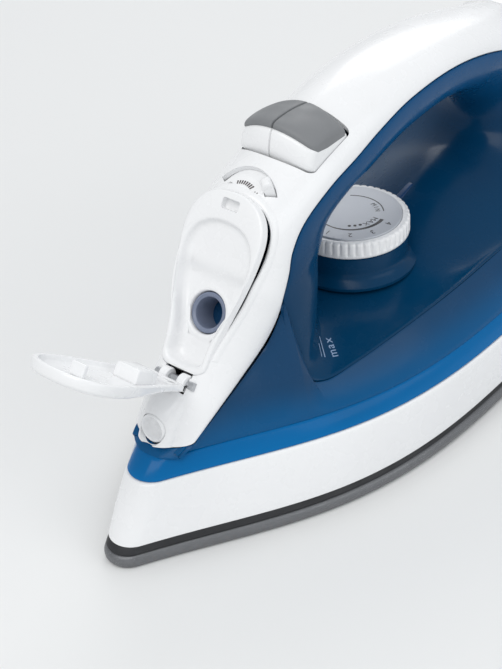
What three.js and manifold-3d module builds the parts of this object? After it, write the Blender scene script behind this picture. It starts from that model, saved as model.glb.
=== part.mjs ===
// A household steam iron as an assembly of separate pieces.
// Millimetres. +X points to the nose, +Y to the iron's left, +Z up. The origin is the middle of
// the sole's flat underside, which the iron glides on.

import * as THREE from 'three';
import { mergeVertices } from 'three/addons/utils/BufferGeometryUtils.js';
import Module from 'manifold-3d';

const wasm = await Module();
wasm.setup();

// ---------------------------------------------------------------- driving dimensions

const SOLE_LENGTH = 226;
const SOLE_HALF_WIDTH = 56.2;
const NOSE_X = SOLE_LENGTH / 2;
const NOSE_HALF_ANGLE = THREE.MathUtils.degToRad(28.8);

const SMALLEST_EDGE = 2e-3; // corners closer than this become one
const GAP = 0.3; // clearance between neighbouring pieces
const WALL = 2.4; // wall of the moulded shells
const DEPTH = { shield: 2.7, skirt: 20.3, base: 6.4 };

const Z_SOLE_TOP = 5;
const Z_SHIELD = Z_SOLE_TOP + GAP;
const Z_SKIRT = Z_SHIELD + DEPTH.shield;
const Z_BASE = Z_SKIRT + DEPTH.skirt + GAP;
const Z_TANK = Z_BASE + DEPTH.base + GAP;

const CASTING_TOP = 12; // top of the raised casting that holds the heater
const HEATER_RADIUS = 3.6;
const HEATER_Z = 11.6;

const DIAL = { behind: 137.5, radius: 21.8, bottom: 66.5, top: 73, plateRadius: 19 };
const ROD = { behind: 79, radius: 2.4, bottom: 31, top: 100.5 };
const BUTTON = { front: 91.6, halfWidth: 15.4, under: -7 };
const DECK_SLOPE = THREE.MathUtils.degToRad(18.8); // how far the buttons' seat leans forward
const NOSE_SLOPE = THREE.MathUtils.degToRad(58.2); // how steep the filler face is
const LEVER_SLOPE = THREE.MathUtils.degToRad(26);
const HEEL_LEAN = THREE.MathUtils.degToRad(17); // the heel face's lean from upright

const HINGE = { behind: 38.4, z: 56.9, radius: 1.5, pinHalf: 8.4 };
const KNUCKLE = { radius: 3.1, half: 5.5, room: 3.8 }; // the lid's barrel and the pocket round it
const LID = { length: 65.6, opened: THREE.MathUtils.degToRad(34) };
const NOZZLE = { behind: 27.6, z: 43.6, radius: 5.4 };
const LEVER = { behind: 72.9, z: 109.9, slotRadius: 12.4, halfSweep: 56, knobAngle: 44 };

// Places are written as a distance behind the sole's nose tip, then across, then up.
const at = (behind, y, z) => new THREE.Vector3(NOSE_X - behind, y, z);
const UP = new THREE.Vector3(0, 0, 1);
const ACROSS = new THREE.Vector3(0, 1, 0);
const leaning = (angle) => new THREE.Vector3(Math.sin(angle), 0, Math.cos(angle));

// ---------------------------------------------------------------- finishes

const finish = (color, roughness, metalness = 0, opacity = 1) =>
  new THREE.MeshStandardMaterial({ color, roughness, metalness, opacity, transparent: opacity < 1 });

const WHITE = finish(0xe9ebee, 0.25);
const BLUE = finish(0x163f73, 0.2, 0, 0.85);
const AZURE = finish(0x1466b0, 0.2, 0, 0.9);
const GREY_PAD = finish(0x9a9da1, 0.6);
const BLACK = finish(0x1b1c1e, 0.6);
const SOLE_METAL = finish(0x55585c, 0.45, 0.7);
const ALUMINIUM = finish(0xb9bcc0, 0.4, 0.9);
const STEEL = finish(0xa7abb0, 0.35, 1);
const BRASS = finish(0xb98f45, 0.35, 1);
const SILVER = finish(0xc5c9ce, 0.35, 0.6);
const RUBBER = finish(0x26282b, 0.8);
const SEAL = finish(0x5d7f93, 0.6);
const CERAMIC = finish(0xe7e2d6, 0.7);
const LENS = finish(0xb33a2e, 0.2, 0, 0.8);

// ---------------------------------------------------------------- solids

/** One closed, outward-facing geometry with shared corners and no collapsed triangles. */
function closed(geometry, tolerance = 1e-4) {
  const bare = geometry.clone();
  for (const name of Object.keys(bare.attributes)) if (name !== 'position') bare.deleteAttribute(name);
  const merged = mergeVertices(bare, tolerance);
  const index = merged.index.array;
  const p = merged.attributes.position;
  const kept = [];
  const [a, b, c] = [new THREE.Vector3(), new THREE.Vector3(), new THREE.Vector3()];
  let volume = 0;
  for (let i = 0; i < index.length; i += 3) {
    const [u, v, w] = [index[i], index[i + 1], index[i + 2]];
    if (u === v || v === w || w === u) continue;
    kept.push(u, v, w);
    volume += a.fromBufferAttribute(p, u).dot(b.fromBufferAttribute(p, v).cross(c.fromBufferAttribute(p, w)));
  }
  if (volume < 0) kept.reverse();
  merged.setIndex(kept);
  return merged;
}

function toSolid(geometry) {
  const g = closed(geometry);
  const mesh = new wasm.Mesh({
    numProp: 3,
    vertProperties: new Float32Array(g.attributes.position.array),
    triVerts: new Uint32Array(g.index.array),
  });
  return new wasm.Manifold(mesh);
}

function toGeometry(solid) {
  const mesh = solid.getMesh();
  const g = new THREE.BufferGeometry();
  g.setAttribute('position', new THREE.BufferAttribute(new Float32Array(mesh.vertProperties), 3));
  g.setIndex(new THREE.BufferAttribute(new Uint32Array(mesh.triVerts), 1));
  return g;
}

const cut = (body, ...tools) => tools.reduce((left, tool) => left.subtract(tool), body);
const join = (body, ...others) => others.reduce((sum, other) => sum.add(other), body);

/** A skin through rings of equally many points. It closes on itself, or ends in two caps. */
function loft(rings, round = false) {
  const n = rings[0].length;
  const index = [];
  const count = round ? rings.length : rings.length - 1;
  for (let i = 0; i < count; i++) {
    const k = (i + 1) % rings.length;
    for (let j = 0; j < n; j++) {
      const l = (j + 1) % n;
      index.push(i * n + j, k * n + j, k * n + l, i * n + j, k * n + l, i * n + l);
    }
  }
  if (!round) {
    for (const i of [0, rings.length - 1]) {
      for (const [u, v, w] of capTriangles(rings[i])) {
        if (i === 0) index.push(i * n + u, i * n + v, i * n + w);
        else index.push(i * n + w, i * n + v, i * n + u);
      }
    }
  }
  const g = new THREE.BufferGeometry().setFromPoints(rings.flat());
  g.setIndex(index);
  return g;
}

/** Triangles of a flat ring, facing so that a cap on the first ring matches the skin beside it. */
function capTriangles(ring) {
  const normal = new THREE.Vector3();
  ring.forEach((p, i) => normal.add(p.clone().cross(ring[(i + 1) % ring.length])));
  const u = ring[1].clone().sub(ring[0]).normalize();
  const v = normal.clone().normalize().cross(u).normalize();
  const flat = ring.map((p) => new THREE.Vector2(p.dot(u), p.dot(v)));
  return THREE.ShapeUtils.triangulateShape(flat, []);
}

/** A turned solid: profile points are [radius, height] along an axis from a point. */
function turned(profile, origin, axis = UP, segments = 24) {
  const g = new THREE.LatheGeometry(profile.map(([r, h]) => new THREE.Vector2(r, h)), segments);
  g.applyQuaternion(new THREE.Quaternion().setFromUnitVectors(new THREE.Vector3(0, 1, 0), axis));
  g.translate(origin.x, origin.y, origin.z);
  return toSolid(g);
}

const disc = (radius, from, to, origin, axis = UP, segments = 24) =>
  turned([[0, from], [radius, from], [radius, to], [0, to]], origin, axis, segments);

const tube = (outer, inner, from, to, origin, axis = UP, segments = 24) =>
  turned([[inner, from], [outer, from], [outer, to], [inner, to], [inner, from]], origin, axis, segments);

/** A block by its size, turned about Y by a lean so that its top faces forward, then moved. */
function block(sizeX, sizeY, sizeZ, centre, lean = 0) {
  const g = new THREE.BoxGeometry(sizeX, sizeY, sizeZ);
  g.rotateY(lean);
  g.translate(centre.x, centre.y, centre.z);
  return toSolid(g);
}

/** A round bar along a smooth curve through points. */
function bar(points, radius, steps, sides = 8) {
  const path = new THREE.CatmullRomCurve3(points, false, 'centripetal');
  const section = new THREE.Shape();
  for (let i = 0; i < sides; i++) {
    const a = (i / sides) * 2 * Math.PI;
    if (i === 0) section.moveTo(radius, 0);
    else section.lineTo(radius * Math.cos(a), radius * Math.sin(a));
  }
  return toSolid(new THREE.ExtrudeGeometry(section, { steps, extrudePath: path, bevelEnabled: false }));
}

/** An outline in the X-Z plane, given as [behind, z], pushed out to both sides of the middle. */
function sideProfile(points, halfWidth, y = 0) {
  const outline = points.map(([behind, z]) => [NOSE_X - behind, z]);
  const rings = [-1, 1].map((side) => outline.map(([x, z]) => new THREE.Vector3(x, y + side * halfWidth, z)));
  return toSolid(loft(rings));
}

// ---------------------------------------------------------------- plan outlines

const ARC_STEPS = 3;
const SIDE_STEPS = 9;
const REAR_STEPS = 6;

/** The iron's plan outline at one height: a round nose, a bowed side and a rounded back. */
function planRing({ nose, radius, halfWidth, widest, rear, z }) {
  const points = [];
  const reach = Math.PI / 2 - NOSE_HALF_ANGLE;
  for (let i = 0; i <= ARC_STEPS; i++) {
    const a = (i / ARC_STEPS) * reach;
    points.push([nose + radius - radius * Math.cos(a), radius * Math.sin(a)]);
  }
  const [startBehind, startY] = points[ARC_STEPS];
  const start = new THREE.Vector2(startBehind, startY);
  const wide = new THREE.Vector2(widest, halfWidth);
  const span = start.distanceTo(wide);
  const side = new THREE.CubicBezierCurve(
    start,
    new THREE.Vector2(Math.cos(NOSE_HALF_ANGLE), Math.sin(NOSE_HALF_ANGLE)).multiplyScalar(0.36 * span).add(start),
    new THREE.Vector2(wide.x - 0.49 * span, wide.y),
    wide,
  );
  const back = new THREE.CubicBezierCurve(
    wide,
    new THREE.Vector2(rear - 8, halfWidth),
    new THREE.Vector2(rear, halfWidth * 0.8),
    new THREE.Vector2(rear, 0),
  );
  for (let i = 1; i <= SIDE_STEPS; i++) {
    const p = side.getPoint(i / SIDE_STEPS);
    points.push([p.x, p.y]);
  }
  for (let i = 1; i <= REAR_STEPS; i++) {
    const p = back.getPoint(i / REAR_STEPS);
    points.push([p.x, p.y]);
  }
  const left = points.map(([behind, y]) => at(behind, y, z));
  const right = points.slice(1, -1).reverse().map(([behind, y]) => at(behind, -y, z));
  return [...left, ...right];
}

const SOLE_PLAN = { nose: 0, radius: 8.4, halfWidth: SOLE_HALF_WIDTH, widest: 142.2, rear: SOLE_LENGTH };
const SKIRT_TOP_PLAN = { nose: 14.2, radius: 9, halfWidth: 54.6, widest: 152, rear: SOLE_LENGTH + 6 };

/** A plan moved in by a distance all round, at a height. */
function inset(plan, distance, z) {
  return planRing({
    nose: plan.nose + distance,
    radius: Math.max(plan.radius - distance * 0.3, 2),
    halfWidth: plan.halfWidth - distance,
    widest: plan.widest,
    rear: plan.rear - distance,
    z,
  });
}

const stack = (...rings) => toSolid(loft(rings));

/** The outline's stacked slices with its middle taken out down to a height. */
function band(lowerPlan, upperPlan, bottom, top, wall) {
  const outer = stack(inset(lowerPlan, 0, bottom), inset(upperPlan, 0, top));
  const inner = stack(inset(lowerPlan, wall, bottom - 1), inset(upperPlan, wall, top + 1));
  return cut(outer, inner);
}

// ---------------------------------------------------------------- curved shells

/**
 * The half of a moulded surface between an outer edge on the iron's left and a line in its middle
 * plane. Each station gives the edge point, the middle point, how the surface leaves the edge, and
 * how far it runs level across the middle.
 */
function patch(stations, steps, across, round) {
  const curveOf = (key) =>
    new THREE.CatmullRomCurve3(stations.map((s) => s[key]), round, 'centripetal');
  const flatOf = new THREE.CatmullRomCurve3(
    stations.map((s, i) => new THREE.Vector3(s.level, i * 0.01, 0)), round, 'catmullrom');
  const curves = { edge: curveOf('edge'), middle: curveOf('middle'), leave: curveOf('leave') };
  const rows = [];
  for (let i = 0; i < steps; i++) {
    const s = i / (round ? steps : steps - 1);
    const edge = curves.edge.getPoint(s);
    const middle = curves.middle.getPoint(s);
    const leave = curves.leave.getPoint(s);
    const level = new THREE.Vector3(0, -flatOf.getPoint(s).x, 0);
    const row = [];
    for (let j = 0; j < across; j++) {
      const t = j / (across - 1);
      const t2 = t * t;
      const t3 = t2 * t;
      row.push(new THREE.Vector3()
        .addScaledVector(edge, 2 * t3 - 3 * t2 + 1)
        .addScaledVector(leave, t3 - 2 * t2 + t)
        .addScaledVector(middle, 3 * t2 - 2 * t3)
        .addScaledVector(level, t3 - t2));
    }
    const mirrored = row.slice(0, -1).reverse().map((p) => new THREE.Vector3(p.x, -p.y, p.z));
    rows.push([...row, ...mirrored]);
  }
  return rows;
}

/** The grid moved along its own normals; a positive distance goes the way the surface faces. */
function offset(rows, distance, round, facing) {
  const m = rows.length;
  const n = rows[0].length;
  return rows.map((row, i) => row.map((p, j) => {
    const before = round ? rows[(i + m - 1) % m][j] : rows[Math.max(i - 1, 0)][j];
    const after = round ? rows[(i + 1) % m][j] : rows[Math.min(i + 1, m - 1)][j];
    const along = after.clone().sub(before);
    const over = row[Math.min(j + 1, n - 1)].clone().sub(row[Math.max(j - 1, 0)]);
    const normal = along.cross(over).normalize().multiplyScalar(facing);
    return p.clone().addScaledVector(normal, distance);
  }));
}

/** Rows whose two ends reach further along their own direction. */
function lengthened(rows, reach) {
  return rows.map((row) => {
    const longer = [...row];
    const last = row.length - 1;
    for (const [end, next] of [[0, 1], [last, last - 1]]) {
      const outward = row[end].clone().sub(row[next]).normalize();
      longer[end] = row[end].clone().addScaledVector(outward, reach);
    }
    return longer;
  });
}

/** A wall with the grid as its outer face. Room round it, with proud above 0, is larger all over. */
function shell(grid, wall, round, facing, proud = 0) {
  const rows = proud ? lengthened(grid, proud) : grid;
  const outer = proud ? offset(rows, proud, round, facing) : rows;
  const inner = offset(rows, -wall, round, facing);
  const n = outer[0].length;
  const m = outer.length;
  const rings = outer.map((row, i) => [...row, ...inner[i].slice().reverse()]);
  const points = rings.flat();
  const size = 2 * n;
  const index = [];
  const count = round ? m : m - 1;
  for (let i = 0; i < count; i++) {
    const k = (i + 1) % m;
    for (let j = 0; j < size; j++) {
      const l = (j + 1) % size;
      index.push(i * size + j, k * size + j, k * size + l, i * size + j, k * size + l, i * size + l);
    }
  }
  if (!round) {
    for (let j = 0; j < n - 1; j++) {
      const [a, b, c, d] = [j, j + 1, size - 2 - j, size - 1 - j];
      index.push(a, b, c, a, c, d);
      const e = (m - 1) * size;
      index.push(e + a, e + c, e + b, e + a, e + d, e + c);
    }
  }
  const g = new THREE.BufferGeometry().setFromPoints(points);
  g.setIndex(index);
  return toSolid(g);
}

const station = (edge, middle, leave, level) => ({
  edge: at(...edge),
  middle: at(middle[0], 0, middle[1]),
  leave: new THREE.Vector3(-leave[0], leave[1], leave[2]),
  level,
});

// ---------------------------------------------------------------- assembly

const iron = new THREE.Group();

function part(name, shape, material) {
  const geometry = closed(toGeometry(shape), SMALLEST_EDGE);
  geometry.computeVertexNormals();
  const mesh = new THREE.Mesh(geometry, material);
  mesh.name = name;
  iron.add(mesh);
}

// ---- the seam where the white top meets the blue body, from the nose to the tail

const NOSE_SEAM = [
  [33.2, 12.6, 39.6],
  [42, 14.2, 46],
  [53.7, 15.6, 53.6],
  [66.8, 17.2, 63.1],
  [71.6, 18.6, 70.5],
];
const HANDLE_SEAM = [
  [73.4, 19.8, 77.5],
  [77.3, 19.5, 85],
  [79.8, 19.3, 92.3],
  [86, 19.2, 99.7],
  [101.5, 19.1, 107.2],
  [116.3, 19, 111.5],
  [131, 19, 116.4],
  [148, 19, 120.4],
  [176, 19, 121.4],
  [202, 19.2, 117],
  [222, 20, 110],
];

// ---- the upper body: one blue moulding round the finger opening, with the deck below it

const SHAPES_UNDER_SEAM = [
  [[104.6, 84.5], [58, 7, 9], 48],
  [[107, 89.5], [54, 7, 2], 48],
  [[111, 94], [46, 7, -14], 47],
  [[118, 97.6], [33, 6, -26], 46],
  [[128, 100.2], [20, 5, -32], 45],
  [[138, 102.4], [13, 5, -36], 45],
  [[148, 103.8], [7, 5, -38], 44],
  [[160, 104.4], [3, 4, -38], 44],
  [[178, 104.3], [-1, 4, -36], 42],
  [[194, 100.5], [-9, 3, -32], 40],
  [[205, 92.5], [-18, 2, -22], 36],
];
const OPENING = [
  station([190, 41, 55], [190, 71], [0, -30, 2], 40),
  station([165, 40.6, 52.2], [165, 64.3], [0, -30, 1], 40),
  station([140, 40.3, 51.2], [140, 57.2], [0, -30, 0], 40),
  station([115, 38.6, 50], [120, 54], [4, -28, -1], 38),
  station([93, 35.2, 47.6], [109, 54.5], [14, -24, 0], 34),
  station([79.5, 31.4, 45.8], [104.6, 59], [22, -16, 5], 34),
  station([73.9, 28.2, 48.6], [103, 65], [34, -7, 10], 38),
  station([74.8, 24.6, 57], [102.6, 71], [44, 0, 10], 42),
  station([74.4, 21.8, 68], [103, 78], [54, 4, 9], 46),
  ...HANDLE_SEAM.map((edge, i) => station(edge, ...SHAPES_UNDER_SEAM[i])),
  station([229.5, 22.5, 98], [211.5, 84], [-20, 0, -8], 34),
  station([226, 28.5, 80], [209.5, 76.5], [-14, -14, -6], 36),
  station([213, 37, 64], [202, 72.6], [-6, -24, 0], 38),
];
const openingRows = patch(OPENING, 42, 6, true);
const OPENING_FACING = -1;

const dialAt = at(DIAL.behind, 0, 0);
const rodAt = at(ROD.behind, 0, 0);
const lensAt = at(171, 0, 65.4);
const LENS_LEAN = 0.25;
const upperBody = cut(
  join(
    shell(openingRows, WALL, true, OPENING_FACING),
    tube(21, 16.5, 56, DIAL.bottom - GAP, dialAt, UP, 32),
  ),
  disc(4.6, 40, 80, dialAt, UP, 16),
  block(12.6, 4.6, 20, lensAt, LENS_LEAN),
);
const upperBodyRoom = shell(openingRows, WALL + GAP, true, OPENING_FACING, GAP);

// ---- the white top: nose face, handle back and tail in one moulding

const SHAPES_OVER_NOSE = [
  [[24.8, 38], [-10, 4, -3], 16],
  [[29.6, 48.5], [-13, 5, 3], 20],
  [[37.5, 59], [-17, 5, 9], 26],
  [[46.2, 73], [-20, 5, 13], 32],
  [[52.6, 83.4], [-20, 5, 14], 34],
];
const SHAPES_OVER_HANDLE = [
  [[57.4, 91.2], [-18, 5, 15], 36],
  [[62.6, 99.6], [-14, 5, 17], 36],
  [[69.2, 107.8], [-10, 4, 16], 36],
  [[77.6, 112.8], [-7, 3, 14], 36],
  [[95, 120], [-5, 3, 13], 36],
  [[112, 126.2], [-4, 3, 14], 34],
  [[129, 130], [-2, 3, 13], 33],
  [[147, 131.6], [-1, 3, 11], 32],
  [[177, 131], [0, 3, 10], 32],
  [[206, 127], [3, 3, 10], 32],
  [[230, 121.4], [6, 3, 11], 32],
];
const liftedSeam = (seam) => seam.map(([behind, y, z]) => [behind - 0.35, y, z + 0.45]);
const COVER = [
  ...liftedSeam(NOSE_SEAM).map((edge, i) => station(edge, ...SHAPES_OVER_NOSE[i])),
  ...liftedSeam(HANDLE_SEAM).map((edge, i) => station(edge, ...SHAPES_OVER_HANDLE[i])),
];
const coverRows = patch(COVER, 31, 6, false);
const COVER_FACING = 1;

// The nose face's own directions: up the slope from the hinge, across, and out of the face.
const hingeAt = at(HINGE.behind, 0, HINGE.z);
const faceOut = leaning(NOSE_SLOPE);
const faceUp = new THREE.Vector3(-Math.cos(NOSE_SLOPE), 0, Math.sin(NOSE_SLOPE));
const onFace = (up, y, out) =>
  hingeAt.clone().addScaledVector(faceUp, up).addScaledVector(ACROSS, y).addScaledVector(faceOut, out);

// The open lid's own directions: along it from the hinge, across, and out of its outer side.
const lidAlong = new THREE.Vector3(Math.cos(LID.opened), 0, Math.sin(LID.opened));
const lidOut = new THREE.Vector3(Math.sin(LID.opened), 0, -Math.cos(LID.opened));
const onLid = (along, y, out) =>
  hingeAt.clone().addScaledVector(lidAlong, along).addScaledVector(ACROSS, y).addScaledVector(lidOut, out);

/** A pear-shaped outline in a face's own directions: [up, across] points, widest near its top. */
function pear(start, end, lowHalf, highHalf) {
  const shape = new THREE.Shape();
  const shoulder = end - highHalf * 0.95;
  shape.moveTo(start, 0);
  shape.bezierCurveTo(start, lowHalf * 0.7, start + 1, lowHalf, start + 5, lowHalf);
  shape.bezierCurveTo(start + 16, lowHalf, shoulder - 16, highHalf, shoulder, highHalf);
  shape.bezierCurveTo(end - highHalf * 0.3, highHalf, end, highHalf * 0.6, end, 0);
  const half = shape.getPoints(5).map((p) => [p.x, p.y]);
  const mirrored = half.slice(1, -1).reverse().map(([u, y]) => [u, -y]);
  return [...half, ...mirrored];
}

/** A prism of an outline between two depths, placed by a function of [up, across, out]. */
const prism = (outline, from, to, place) =>
  stack(outline.map(([u, y]) => place(u, y, from)), outline.map(([u, y]) => place(u, y, to)));

const RECESS = { start: 3.6, end: 57.5, lowHalf: 9.4, highHalf: 15.9, floor: -6.2, ledge: -0.6 };
const recessOutline = (gap) =>
  pear(RECESS.start + gap, RECESS.end - gap, RECESS.lowHalf - gap, RECESS.highHalf - gap);

// The buttons' seat: back along the handle, across, and out.
const seatOut = leaning(DECK_SLOPE);
const seatBack = new THREE.Vector3(-Math.cos(DECK_SLOPE), 0, Math.sin(DECK_SLOPE));
const seatAt = at(BUTTON.front, 0, 118.2);
const onSeat = (back, y, out) =>
  seatAt.clone().addScaledVector(seatBack, back).addScaledVector(ACROSS, y).addScaledVector(seatOut, out);

const rectangle = (u0, u1, y0, y1) => [[u0, y0], [u1, y0], [u1, y1], [u0, y1]];

// The buttons' pocket: its front edge bows forward in the middle.
const BOW = 3;
const bowed = (y) => BOW * (y / BUTTON.halfWidth) ** 2;
const pocketOutline = [
  ...[-1, -0.5, 0, 0.5, 1].map((f) => f * (BUTTON.halfWidth + 0.5)).map((y) => [bowed(y) - 0.9, y]),
  [25.5, BUTTON.halfWidth + 0.5],
  [25.5, -BUTTON.halfWidth - 0.5],
];

// The steam lever's own directions, and an arc-shaped outline round its pivot.
const leverOut = leaning(LEVER_SLOPE);
const leverBack = new THREE.Vector3(-Math.cos(LEVER_SLOPE), 0, Math.sin(LEVER_SLOPE));
const leverAt = at(LEVER.behind, 0, LEVER.z);
const onLever = (back, y, out) =>
  leverAt.clone().addScaledVector(leverBack, back).addScaledVector(ACROSS, y).addScaledVector(leverOut, out);

function arcOutline(inner, outer, from, to, steps) {
  const points = [];
  const ray = (radius, degrees) => {
    const a = THREE.MathUtils.degToRad(degrees);
    return [radius * Math.cos(a), radius * Math.sin(a)];
  };
  for (let i = 0; i <= steps; i++) points.push(ray(outer, from + ((to - from) * i) / steps));
  for (let i = steps; i >= 0; i--) points.push(ray(inner, from + ((to - from) * i) / steps));
  return points;
}

const nozzleAxis = new THREE.Vector3(Math.cos(0.12), 0, Math.sin(0.12));
const nozzleAt = at(NOZZLE.behind, 0, NOZZLE.z);
const slotOutline = arcOutline(
  LEVER.slotRadius - 2, LEVER.slotRadius + 2, -LEVER.halfSweep, LEVER.halfSweep, 9);

const lidOutline = (gap) => pear(3.2 + gap, LID.length - gap, 9.4 - gap, RECESS.highHalf - gap);
const crosswise = (outer, half) => disc(outer, -half, half, hingeAt, ACROSS, 12);

part('handle_cover', cut(
  shell(coverRows, WALL, false, COVER_FACING),
  prism(recessOutline(0), -16, 14, onFace),
  prism(lidOutline(-GAP), RECESS.ledge, 14, onFace),
  prism(rectangle(2.2, 12, -9.9, 9.9), RECESS.ledge, 14, onFace),
  crosswise(KNUCKLE.room, KNUCKLE.half + 0.4),
  prism(rectangle(0, 9, -KNUCKLE.half - 0.4, KNUCKLE.half + 0.4), -1.4, 3.2, onLid),
  crosswise(HINGE.radius + GAP, HINGE.pinHalf + 0.4),
  prism(pocketOutline, -12, 14, onSeat),
  prism(slotOutline, -6, 6, onLever),
  disc(NOZZLE.radius + GAP, -14, 12, nozzleAt, nozzleAxis, 20),
), WHITE);
const coverRoom = shell(coverRows, WALL + GAP, false, COVER_FACING, GAP);

part('upper_body', cut(upperBody, coverRoom), BLUE);

// ---- the water tank's wall: base outline and top edge, from the nose round to the middle of the back

const TANK_WALL = [
  [[21.8, 0], [25.6, 0, 37]],
  [[22.7, 5], [27, 7, 37.5]],
  [[27, 11], [33, 12.4, 38.6]],
  [[37, 16.6], [42, 14, 45.6]],
  [[48, 22.6], [53.8, 15.6, 53]],
  [[60, 29.2], [66.8, 17.2, 62.4]],
  [[66, 32], [72, 18.9, 72]],
  [[69.5, 33.5], [73.2, 20, 76.6]],
  [[72, 34.6], [74.7, 22.6, 65]],
  [[75, 35.8], [74.9, 25.4, 55.4]],
  [[79, 37.3], [75.2, 29, 46.9]],
  [[85, 39.4], [80, 31.9, 45.2]],
  [[94, 42], [93, 35.5, 47]],
  [[115, 46.8], [115, 38.9, 49.4]],
  [[140, 50], [140, 40.6, 50.6]],
  [[165, 50.8], [165, 40.9, 51.6]],
  [[190, 48.9], [190, 41.2, 54.4]],
  [[203, 46.4], [201, 40.3, 57.6]],
  [[206.8, 43], [206.5, 37, 59.6]],
  [[206.8, 23], [206.8, 18, 67]],
  [[206.8, 0], [206.8, 0, 69]],
];
const tankRow = ([base, top], side) => {
  const from = at(base[0], side * base[1], Z_TANK);
  const to = at(top[0], side * top[1], top[2]);
  const middle = from.clone().lerp(to, 0.5);
  const bulge = 0.02 * from.distanceTo(to);
  return [from, middle.add(new THREE.Vector3(0, side * bulge, bulge * 0.4)), to];
};
const tankRows = [
  ...TANK_WALL.map((pair) => tankRow(pair, 1)),
  ...TANK_WALL.slice(1, -1).reverse().map((pair) => tankRow(pair, -1)),
];
const underTank = block(300, 130, 20, new THREE.Vector3(0, 0, Z_TANK - 10));
part('water_tank', cut(shell(tankRows, 2.2, true, 1), upperBodyRoom, coverRoom, underTank), BLUE);

// ---- sole, heater and the parts between the sole and the skirt

const HOLE_ROWS = [
  { behind: 22, count: 1 },
  { behind: 36, count: 2, spread: 18 },
  { behind: 56, count: 2, spread: 40 },
  { behind: 78, count: 2, spread: 58 },
  { behind: 102, count: 2, spread: 68 },
  { behind: 126, count: 2, spread: 72 },
  { behind: 150, count: 2, spread: 72 },
];
const steamHoles = HOLE_ROWS.flatMap(({ behind, count, spread = 0 }) =>
  Array.from({ length: count }, (_, i) =>
    disc(1.6, -1, 7, at(behind, (i - (count - 1) / 2) * spread, 0), UP, 8)));

const soleBlank = stack(
  inset(SOLE_PLAN, 2.2, 0),
  inset(SOLE_PLAN, 0.6, 0.9),
  inset(SOLE_PLAN, 0, 2.2),
  inset(SOLE_PLAN, 0.3, 3.8),
  inset(SOLE_PLAN, 1.6, Z_SOLE_TOP),
);
const casting = stack(inset(SOLE_PLAN, 9.5, Z_SOLE_TOP - 1), inset(SOLE_PLAN, 10.5, CASTING_TOP));
const heaterLeft = [[218, 28], [203, 30], [180, 33], [142, 36.5], [105, 32], [70, 20.5], [46, 8.5]];
const heaterPath = [
  ...heaterLeft,
  [38.5, 0],
  ...heaterLeft.slice().reverse().map(([behind, y]) => [behind, -y]),
].map(([behind, y]) => at(behind, y, HEATER_Z));
const chamber = planRing({ nose: 56, radius: 6, halfWidth: 26, widest: 142, rear: 196, z: 6.8 });
const chamberTop = chamber.map((p) => p.clone().setZ(CASTING_TOP + 1));
part('soleplate', cut(
  join(soleBlank, casting),
  bar(heaterPath, HEATER_RADIUS + GAP, 34),
  stack(chamber, chamberTop),
  block(60, 50, 4, at(90, 0, CASTING_TOP + 1.7)),
  ...steamHoles,
), SOLE_METAL);
part('heating_element', bar(heaterPath, HEATER_RADIUS, 34), STEEL);
const chamberLid = (wall, from, to) => stack(
  planRing({ nose: 56 - wall, radius: 7, halfWidth: 26 + wall, widest: 142, rear: 196 + wall, z: from }),
  planRing({ nose: 56 - wall, radius: 7, halfWidth: 26 + wall, widest: 142, rear: 196 + wall, z: to }),
);
part('steam_chamber_cover', cut(
  chamberLid(3, CASTING_TOP + GAP, CASTING_TOP + GAP + 1.6),
  disc(4, 0, 30, rodAt, UP, 12),
), ALUMINIUM);

part('heat_shield', cut(
  stack(inset(SOLE_PLAN, 1.4, Z_SHIELD), inset(SOLE_PLAN, 2.6, Z_SKIRT - GAP)),
  stack(inset(SOLE_PLAN, 8.8, 0), inset(SOLE_PLAN, 8.8, 20)),
), BLACK);

const SKIRT_FOOT_PLAN = { ...SOLE_PLAN, nose: 2.6, halfWidth: 55.6, rear: SOLE_LENGTH + 1 };
part('skirt', band(SKIRT_FOOT_PLAN, SKIRT_TOP_PLAN, Z_SKIRT, Z_SKIRT + DEPTH.skirt, WALL), WHITE);

// ---- the tank's base: a tray with a sleeve for the dial's spindle and a seat for the drip valve

const BASE_FOOT_PLAN = { ...SKIRT_TOP_PLAN, nose: 14.8, halfWidth: 54.2 };
const BASE_TOP_PLAN = { ...SKIRT_TOP_PLAN, nose: 21.4, halfWidth: 51.2 };
const TANK_REAR = 206.9;
const behindTank = (wall) => block(60, 130, 60, at(TANK_REAR - wall + 30, 0, Z_TANK + 30 - DEPTH.base + wall));
part('tank_base', cut(
  join(
    cut(
      stack(inset(BASE_FOOT_PLAN, 0, Z_BASE), inset(BASE_TOP_PLAN, 0, Z_TANK - GAP)),
      cut(
        stack(inset(BASE_FOOT_PLAN, WALL, Z_BASE + WALL), inset(BASE_TOP_PLAN, WALL, Z_TANK + 1)),
        behindTank(WALL),
      ),
      behindTank(-60),
      block(60, 130, 60, at(TANK_REAR + 30, 0, Z_BASE)),
    ),
    disc(6.4, Z_BASE + 1, 51.6, dialAt, UP, 16),
    disc(7.5, Z_BASE + 1, Z_BASE + 7, rodAt, UP, 16),
  ),
  disc(4.2, 10, 60, dialAt, UP, 16),
  disc(5, 10, 60, rodAt, UP, 16),
), AZURE);

// ---- the back: a closed heel to stand on, with the cord's way in above it

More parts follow.
